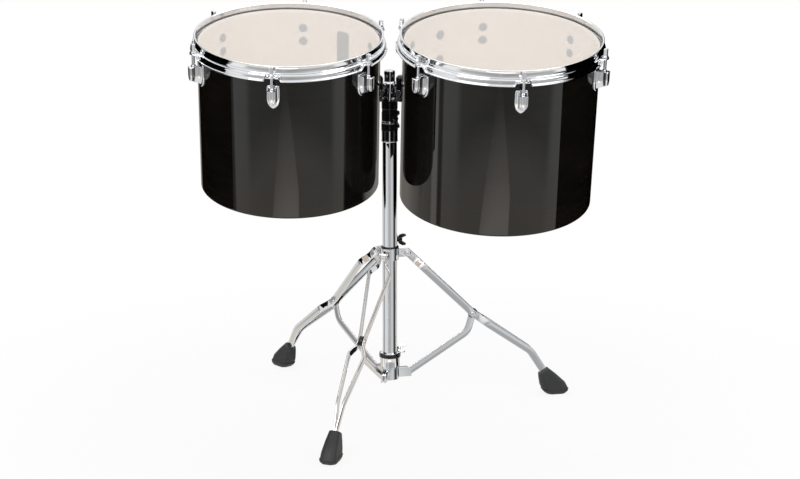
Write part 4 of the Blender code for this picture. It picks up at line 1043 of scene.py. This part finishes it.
class TOM_OT_legs(bpy.types.Operator):
    """Legs, braces, their rivets and bushes, and the rubber feet"""
    bl_idname = "tom.legs"
    bl_label = "Legs"

    # The foot from sole to neck, in mm: back and front points of each section, and half its width
    FOOT_ROWS = (((330, 0), (366, 0), 13.6), ((328, 0.6), (368, 0.6), 14.8), ((322, 5), (372.8, 5), 16.8),
                 ((318.2, 9.4), (373.9, 9.4), 17.0), ((318.2, 10.2), (373.8, 10.2), 16.9),
                 ((319.2, 10.8), (372.8, 10.8), 15.8), ((318.4, 11.8), (372.2, 12), 15.5),
                 ((315, 19), (367, 22.5), 14.6), ((312.6, 32), (349, 39.5), 12.9),
                 ((311.4, 41.6), (331.8, 53.6), 11.0), ((311.6, 42.6), (331, 54.6), 10.7),
                 ((312.8, 43.4), (329.8, 54.6), 9.4))

    def execute(self, context):
        steps = context.scene.tom_sizes.tube_steps // 2
        for number in range(LEG_COUNT):
            place = leg_frame(number)
            add_piece(f"leg_{number + 1}_bars", self.leg(steps), "chrome", f"leg_{number + 1}", place,
                      [f"leg_{number + 1}"])
            add_piece(f"brace_{number + 1}_bar", self.brace(), "chrome", f"brace_{number + 1}", place,
                      [f"brace_{number + 1}"])
            add_piece(f"brace_{number + 1}_bush", self.bush(steps), "black_plastic", f"brace_{number + 1}", place)
            add_piece(f"foot_{number + 1}_boot", self.foot(), "black_rubber", f"leg_{number + 1}", place,
                      [f"foot_{number + 1}"], smooth=40.0)
        return {"FINISHED"}

    def leg(self, steps):
        """Two bars riveted at the hub's tongue and at the brace."""
        entry = plane(FOOT_ENTRY)
        end = entry + (entry - plane(LEG_BEND)).normalized() * FOOT_INSERT
        path = rounded_path([plane(HUB_PIVOT), plane(MIDDLE_PIVOT), plane(LEG_BEND), end], LEG_BEND_RADIUS)
        middle = (plane(MIDDLE_PIVOT) - plane(HUB_PIVOT)).length
        mouth = path_length(path) - FOOT_INSERT
        wide = 16.5 * MM
        rest = middle + 33 * MM
        spreads = [(-20 * MM, HUB_SPREAD), (21 * MM, HUB_SPREAD), (36 * MM, 22 * MM),
                   (middle - 11 * MM, MIDDLE_SPREAD), (middle + 13 * MM, MIDDLE_SPREAD), (rest, wide)]
        spreads += [(mouth - 2 * MM, FOOT_SPREAD), (mouth + 40 * MM, FOOT_SPREAD)]
        bars = [flat_bar(path, spreads, side, -STRIP_WIDTH / 2, mouth + FOOT_INSERT, True) for side in (-1, 1)]
        return merged(*bars, pin(HUB_PIVOT, HUB_SPREAD + STRIP_THICKNESS / 2, steps),
                      *self.middle_heads(steps))

    def middle_heads(self, steps):
        """The rivet heads outside the bars at the brace."""
        out = MIDDLE_SPREAD + STRIP_THICKNESS / 2
        profile = [(0.0, out - 0.5 * MM), (5.2 * MM, out - 0.5 * MM), (5.2 * MM, out + 0.5 * MM),
                   (3.8 * MM, out + 1.5 * MM), (0.0, out + 1.7 * MM)]
        heads = []
        for side in (-1, 1):
            upright = Matrix.Translation(plane(MIDDLE_PIVOT)) @ Matrix.Rotation(radians(90 * side), 4, "X")
            heads.append(moved(lathe(profile, 0.6 * MM, steps), upright))
        return heads

    def brace(self):
        """The single bar from the lower hub to the bush."""
        path = rounded_path([plane(BRACE_PIVOT), plane(BRACE_KNEE), plane(MIDDLE_PIVOT)], BRACE_KNEE_RADIUS)
        still = [(-1.0, 0.0), (1.0, 0.0)]
        return flat_bar(path, still, 1, -STRIP_WIDTH * 0.42, path_length(path), True)

    def bush(self, steps):
        """The black bush between a leg's bars."""
        half = 3.5 * MM
        profile = [(0.0, -half), (BUSH_RADIUS + 0.4 * MM, -half), (BUSH_RADIUS + 0.4 * MM, half), (0.0, half)]
        return moved(lathe(profile, 0.8 * MM, steps),
                     Matrix.Translation(plane(MIDDLE_PIVOT)) @ Matrix.Rotation(radians(90), 4, "X"))

    def foot(self):
        """A boot: a banded sole that narrows to a neck round the ends of the bars."""
        loops = []
        for back, front, half in self.FOOT_ROWS:
            back, front = plane(back) * MM, plane(front) * MM
            centre = (back + front) / 2
            run = (front - back).normalized()
            outline = cut_rectangle((front - back).length / 2, half * MM, half * 0.45 * MM)
            loops.append([centre + run * u + Vector((0, v, 0)) for u, v in outline])
        return skinned(loops)


class TOM_OT_stand(bpy.types.Operator):
    """Tubes, clamps, hubs and their rings"""
    bl_idname = "tom.stand"
    bl_label = "Stand"

    def execute(self, context):
        steps = context.scene.tom_sizes.tube_steps
        self.tube(steps)
        self.clamp(steps)
        self.rings(steps)
        for node in ("height_clamp_knob", "leg_hub", "leg_hub_wing", "lower_hub", "lower_clamp",
                     "lower_wing_bolt"):
            refined(node)
        return {"FINISHED"}

    def tube(self, steps):
        """The base tube with its pressed collar."""
        low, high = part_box("base_tube")
        top = high.z
        collar = top - COLLAR_HEIGHT
        inner = TUBE_RADIUS - 1.2 * MM
        outline = [(TUBE_RADIUS, low.z), (TUBE_RADIUS, low.z + 4 * MM), (TUBE_RADIUS, collar - 4 * MM),
                   (TUBE_RADIUS, collar), (COLLAR_RADIUS - 0.4 * MM, collar),
                   (COLLAR_RADIUS, collar + 0.6 * MM), (COLLAR_RADIUS, collar + 2.4 * MM),
                   (COLLAR_RADIUS - 0.5 * MM, collar + 3.0 * MM), (COLLAR_RADIUS - 0.5 * MM, collar + 5.0 * MM),
                   (COLLAR_RADIUS - 0.5 * MM, top - 6.0 * MM), (COLLAR_RADIUS - 0.5 * MM, top - 4.6 * MM),
                   (COLLAR_RADIUS, top - 4.0 * MM), (COLLAR_RADIUS, top - 0.6 * MM),
                   (COLLAR_RADIUS - 0.6 * MM, top), (inner, top), (inner, low.z)]
        section = [tuple(point) for point in softened(outline, 0.5 * MM)]
        add_piece("base_tube_finished", revolved(section, steps), "chrome", "base",
                  Matrix.Translation(tube_foot()), ["base_tube"])

    def clamp(self, steps):
        """The black clamp sleeve between the tube and the holder."""
        low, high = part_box("height_clamp")
        bottom, top = low.z, high.z
        waist = (bottom + top) / 2
        outer = CLAMP_RADIUS
        step = 0.6 * MM
        inner = outer - 3.2 * MM
        outline = [(outer - step, bottom), (outer, bottom + step), (outer, waist - 4 * MM),
                   (outer - step, waist - 3 * MM), (outer - step, waist + 3 * MM), (outer, waist + 4 * MM),
                   (outer, top - step), (outer - step, top), (inner, top), (inner, bottom)]
        section = [tuple(point) for point in softened(outline, 0.4 * MM)]
        add_piece("height_clamp_finished", revolved(section, steps), "black_plastic", "base",
                  Matrix.Translation(tube_foot()), ["height_clamp"])

    def rings(self, steps):
        """Black bush rings on the hub, the lower clamp and the collar."""
        place = Matrix.Translation(tube_foot())
        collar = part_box("base_tube")[1].z / MM
        for name, body, inner, outer, bottom, top in (("hub_ring", "hub", 14.7, 17.8, 325.6, 328.4),
                                                      ("lower_ring", "base", 19.4, 21.4, 100.4, 108.6),
                                                      ("collar_band", "base", 15.7, 16.4, collar - 19, collar - 4.6)):
            outline = [(outer * MM, bottom * MM), (outer * MM, top * MM), (inner * MM, top * MM),
                       (inner * MM, bottom * MM)]
            section = [tuple(point) for point in softened(outline, 0.9 * MM)]
            add_piece(name, revolved(section, steps), "black_plastic", body, place)


def area_light(name, position, target, size, power):
    """A soft box aimed at a point."""
    data = bpy.data.lights.new(name, "AREA")
    data.shape = "RECTANGLE"
    data.size = size[0]
    data.size_y = size[1]
    data.energy = power
    lamp = bpy.data.objects.new(name, data)
    bpy.context.scene.collection.objects.link(lamp)
    lamp.location = position
    lamp.rotation_euler = (Vector(target) - Vector(position)).to_track_quat("-Z", "Y").to_euler()
    return lamp


class TOM_OT_stage(bpy.types.Operator):
    """Floor, studio light and camera"""
    bl_idname = "tom.stage"
    bl_label = "Stage"

    def execute(self, context):
        scene = context.scene
        scene.view_settings.view_transform = "Standard"
        self.floor()
        self.studio(scene)
        self.boards()
        area_light("key", (-1.6, -2.6, 2.6), (0, -0.1, 0.5), (1.8, 1.4), 30)
        area_light("fill", (2.2, -2.2, 1.8), (0, -0.1, 0.5), (1.6, 1.6), 14)
        area_light("top", (0.2, 0.4, 2.8), (0, -0.1, 0.6), (2.2, 1.6), 17)
        self.camera(scene)
        return {"FINISHED"}

    def floor(self):
        """A pale floor that is white to the camera and keeps a soft shadow."""
        bm = bmesh.new()
        bmesh.ops.create_circle(bm, cap_ends=True, segments=96, radius=2.2)
        mesh = bpy.data.meshes.new("floor")
        bm.to_mesh(mesh)
        bm.free()
        floor = bpy.data.objects.new("floor", mesh)
        bpy.context.scene.collection.objects.link(floor)
        finish = Finish(bpy.data.materials.new("pale_floor"))
        finish.tree.nodes.clear()
        rays = finish.node("ShaderNodeLightPath")
        distance = finish.node("ShaderNodeVectorMath", {"operation": "LENGTH"}, {0: finish.place()})
        away = finish.between(distance.outputs["Value"], 0.4, 1.1, 0.88, 1.0)
        white = finish.node("ShaderNodeEmission", {}, {"Color": (1, 1, 1, 1), "Strength": 1.0})
        paint = finish.node("ShaderNodeBsdfDiffuse", {}, {"Color": (0.85, 0.85, 0.85, 1)})
        clear = finish.node("ShaderNodeBsdfTransparent")
        seen = finish.number(rays, "Is Camera Ray") * away
        shown = finish.node("ShaderNodeMixShader", {}, {0: seen, 1: paint.outputs[0], 2: white.outputs[0]})
        mirrored_ray = finish.number(rays, "Is Glossy Ray")
        mix = finish.node("ShaderNodeMixShader", {}, {0: mirrored_ray, 1: shown.outputs[0], 2: clear.outputs[0]})
        finish.node("ShaderNodeOutputMaterial", {}, {"Surface": mix.outputs[0]})
        mesh.materials.append(finish.block)

    def studio(self, scene):
        """White to the camera, panels of light to bright parts, and plain light to the rest."""
        world = bpy.data.worlds.new("studio")
        scene.world = world
        finish = Finish(world)
        finish.tree.nodes.clear()
        way = finish.node("ShaderNodeSeparateXYZ", {}, {0: finish.place("Generated")})
        right, back, up = (finish.number(way, axis) for axis in "XYZ")
        bearing = right.combine("ARCTAN2", right, 0.0 - back) * (180 / pi)
        rise = up.combine("ARCSINE", up) * (180 / pi)
        turn = bearing * (1 / 360) + 0.5
        low, level = (PANEL_PEAK * finish.number(finish.node("ShaderNodeValToRGB", {
            "stops": [(degrees / 360 + 0.5, share / PANEL_PEAK) for degrees, share in panels]}, {0: turn}))
            for panels in (LOW_PANELS, LEVEL_PANELS))
        # The front panel: darker far away, lighter near the stand, with a bright wedge in its middle
        near = finish.between(bearing * bearing * 0.0013 - 35.2 - rise, -0.7, 0.9)
        far_light = abs(bearing) * 0.0025 + 0.36
        front = far_light + (0.85 - far_light) * near
        half = finish.between(rise, -37.0, -33.7, 19.5, 2.0)
        wedge = finish.between(abs(bearing - WEDGE_BEARING) - half, -0.5, 0.5, 1.0, 0.0)
        front = front + (finish.between(rise, -37.8, -34.2, 1.85, 0.45) - front) * wedge
        low = low + (front - low) * finish.between(abs(bearing), 56.0, 64.0, 1.0, 0.0)
        # Steeper than this no shell mirrors, and chrome sees an even light
        steep = finish.between(rise, -41.0, -39.0, 1.0, 0.0)
        low = low + (0.82 - low) * steep
        panels = level + (low - level) * finish.between(rise, -21.0, -19.0, 1.0, 0.0)
        panels = panels + (0.95 - panels) * finish.between(rise, 1.0, 17.0)
        tint = finish.blend(near * (1 - steep), (1.0, 1.0, 1.0, 1.0), (1.0, 0.94, 0.86, 1.0))
        rays = finish.node("ShaderNodeLightPath")
        white = finish.node("ShaderNodeBackground", {}, {"Color": (1, 1, 1, 1), "Strength": 1.0})
        shiny = finish.node("ShaderNodeBackground", {}, {"Color": tint, "Strength": panels})
        plain = finish.node("ShaderNodeBackground", {}, {"Color": (1, 1, 1, 1), "Strength": 0.6})
        first = finish.node("ShaderNodeMixShader", {}, {0: finish.number(rays, "Is Glossy Ray"),
                                                        1: plain.outputs[0], 2: shiny.outputs[0]})
        seen = finish.number(rays, "Is Camera Ray") + finish.number(rays, "Is Transmission Ray")
        second = finish.node("ShaderNodeMixShader", {}, {0: seen, 1: first.outputs[0], 2: white.outputs[0]})
        finish.node("ShaderNodeOutputWorld", {}, {"Surface": second.outputs[0]})

    def boards(self):
        """Black boards at both sides that only bright parts see; they darken the outer flanks."""
        finish = Finish(bpy.data.materials.new("board_black"))
        finish.tree.nodes.clear()
        black = finish.node("ShaderNodeEmission", {}, {"Color": (0, 0, 0, 1), "Strength": 0.0})
        finish.node("ShaderNodeOutputMaterial", {}, {"Surface": black.outputs[0]})
        for number, (x, corners) in enumerate(BOARDS):
            bm = bmesh.new()
            bm.faces.new([bm.verts.new((x, y, z)) for y, z in corners])
            mesh = bpy.data.meshes.new(f"board_{number + 1}")
            bm.to_mesh(mesh)
            bm.free()
            mesh.materials.append(finish.block)
            board = bpy.data.objects.new(mesh.name, mesh)
            bpy.context.scene.collection.objects.link(board)
            board.visible_camera = board.visible_diffuse = board.visible_shadow = False
            board.visible_transmission = board.visible_volume_scatter = False

    def camera(self, scene):
        """The photograph's camera, turned so that the pair stands in the middle of the frame."""
        data = bpy.data.cameras.new("camera")
        data.sensor_width = SENSOR_WIDTH
        data.lens = SENSOR_WIDTH * PHOTO_FOCAL_PIXELS / PHOTO_WIDTH
        camera = bpy.data.objects.new("camera", data)
        scene.collection.objects.link(camera)
        camera.location = tube_foot() + CAMERA_FROM_TUBE
        camera.rotation_euler = (pi / 2 - CAMERA_PITCH, 0.0, -(CAMERA_YAW + CAMERA_PAN))
        scene.camera = camera


class TOM_PT_panel(bpy.types.Panel):
    """Lists the pieces"""
    bl_idname = "TOM_PT_panel"
    bl_label = "Concert toms"
    bl_space_type = "VIEW_3D"
    bl_region_type = "UI"
    bl_category = "Toms"

    def draw(self, context):
        for name in STEPS:
            self.layout.operator(f"tom.{name}")


STEPS = ("shells", "heads", "hoops", "lugs", "backing", "key_rods", "holder", "legs", "stand", "stage")
CLASSES = (TomSizes, TomColors, TOM_OT_shells, TOM_OT_heads, TOM_OT_hoops, TOM_OT_lugs, TOM_OT_backing,
           TOM_OT_key_rods, TOM_OT_holder, TOM_OT_legs, TOM_OT_stand, TOM_OT_stage, TOM_PT_panel)


def register():
    for cls in CLASSES:
        bpy.utils.register_class(cls)
    bpy.types.Scene.tom_sizes = PointerProperty(type=TomSizes)
    bpy.types.Scene.tom_colors = PointerProperty(type=TomColors)


def unregister():
    del bpy.types.Scene.tom_colors
    del bpy.types.Scene.tom_sizes
    for cls in reversed(CLASSES):
        bpy.utils.unregister_class(cls)


def main():
    register()
    for name in STEPS:
        getattr(bpy.ops.tom, name)()


if __name__ == "__main__":
    main()
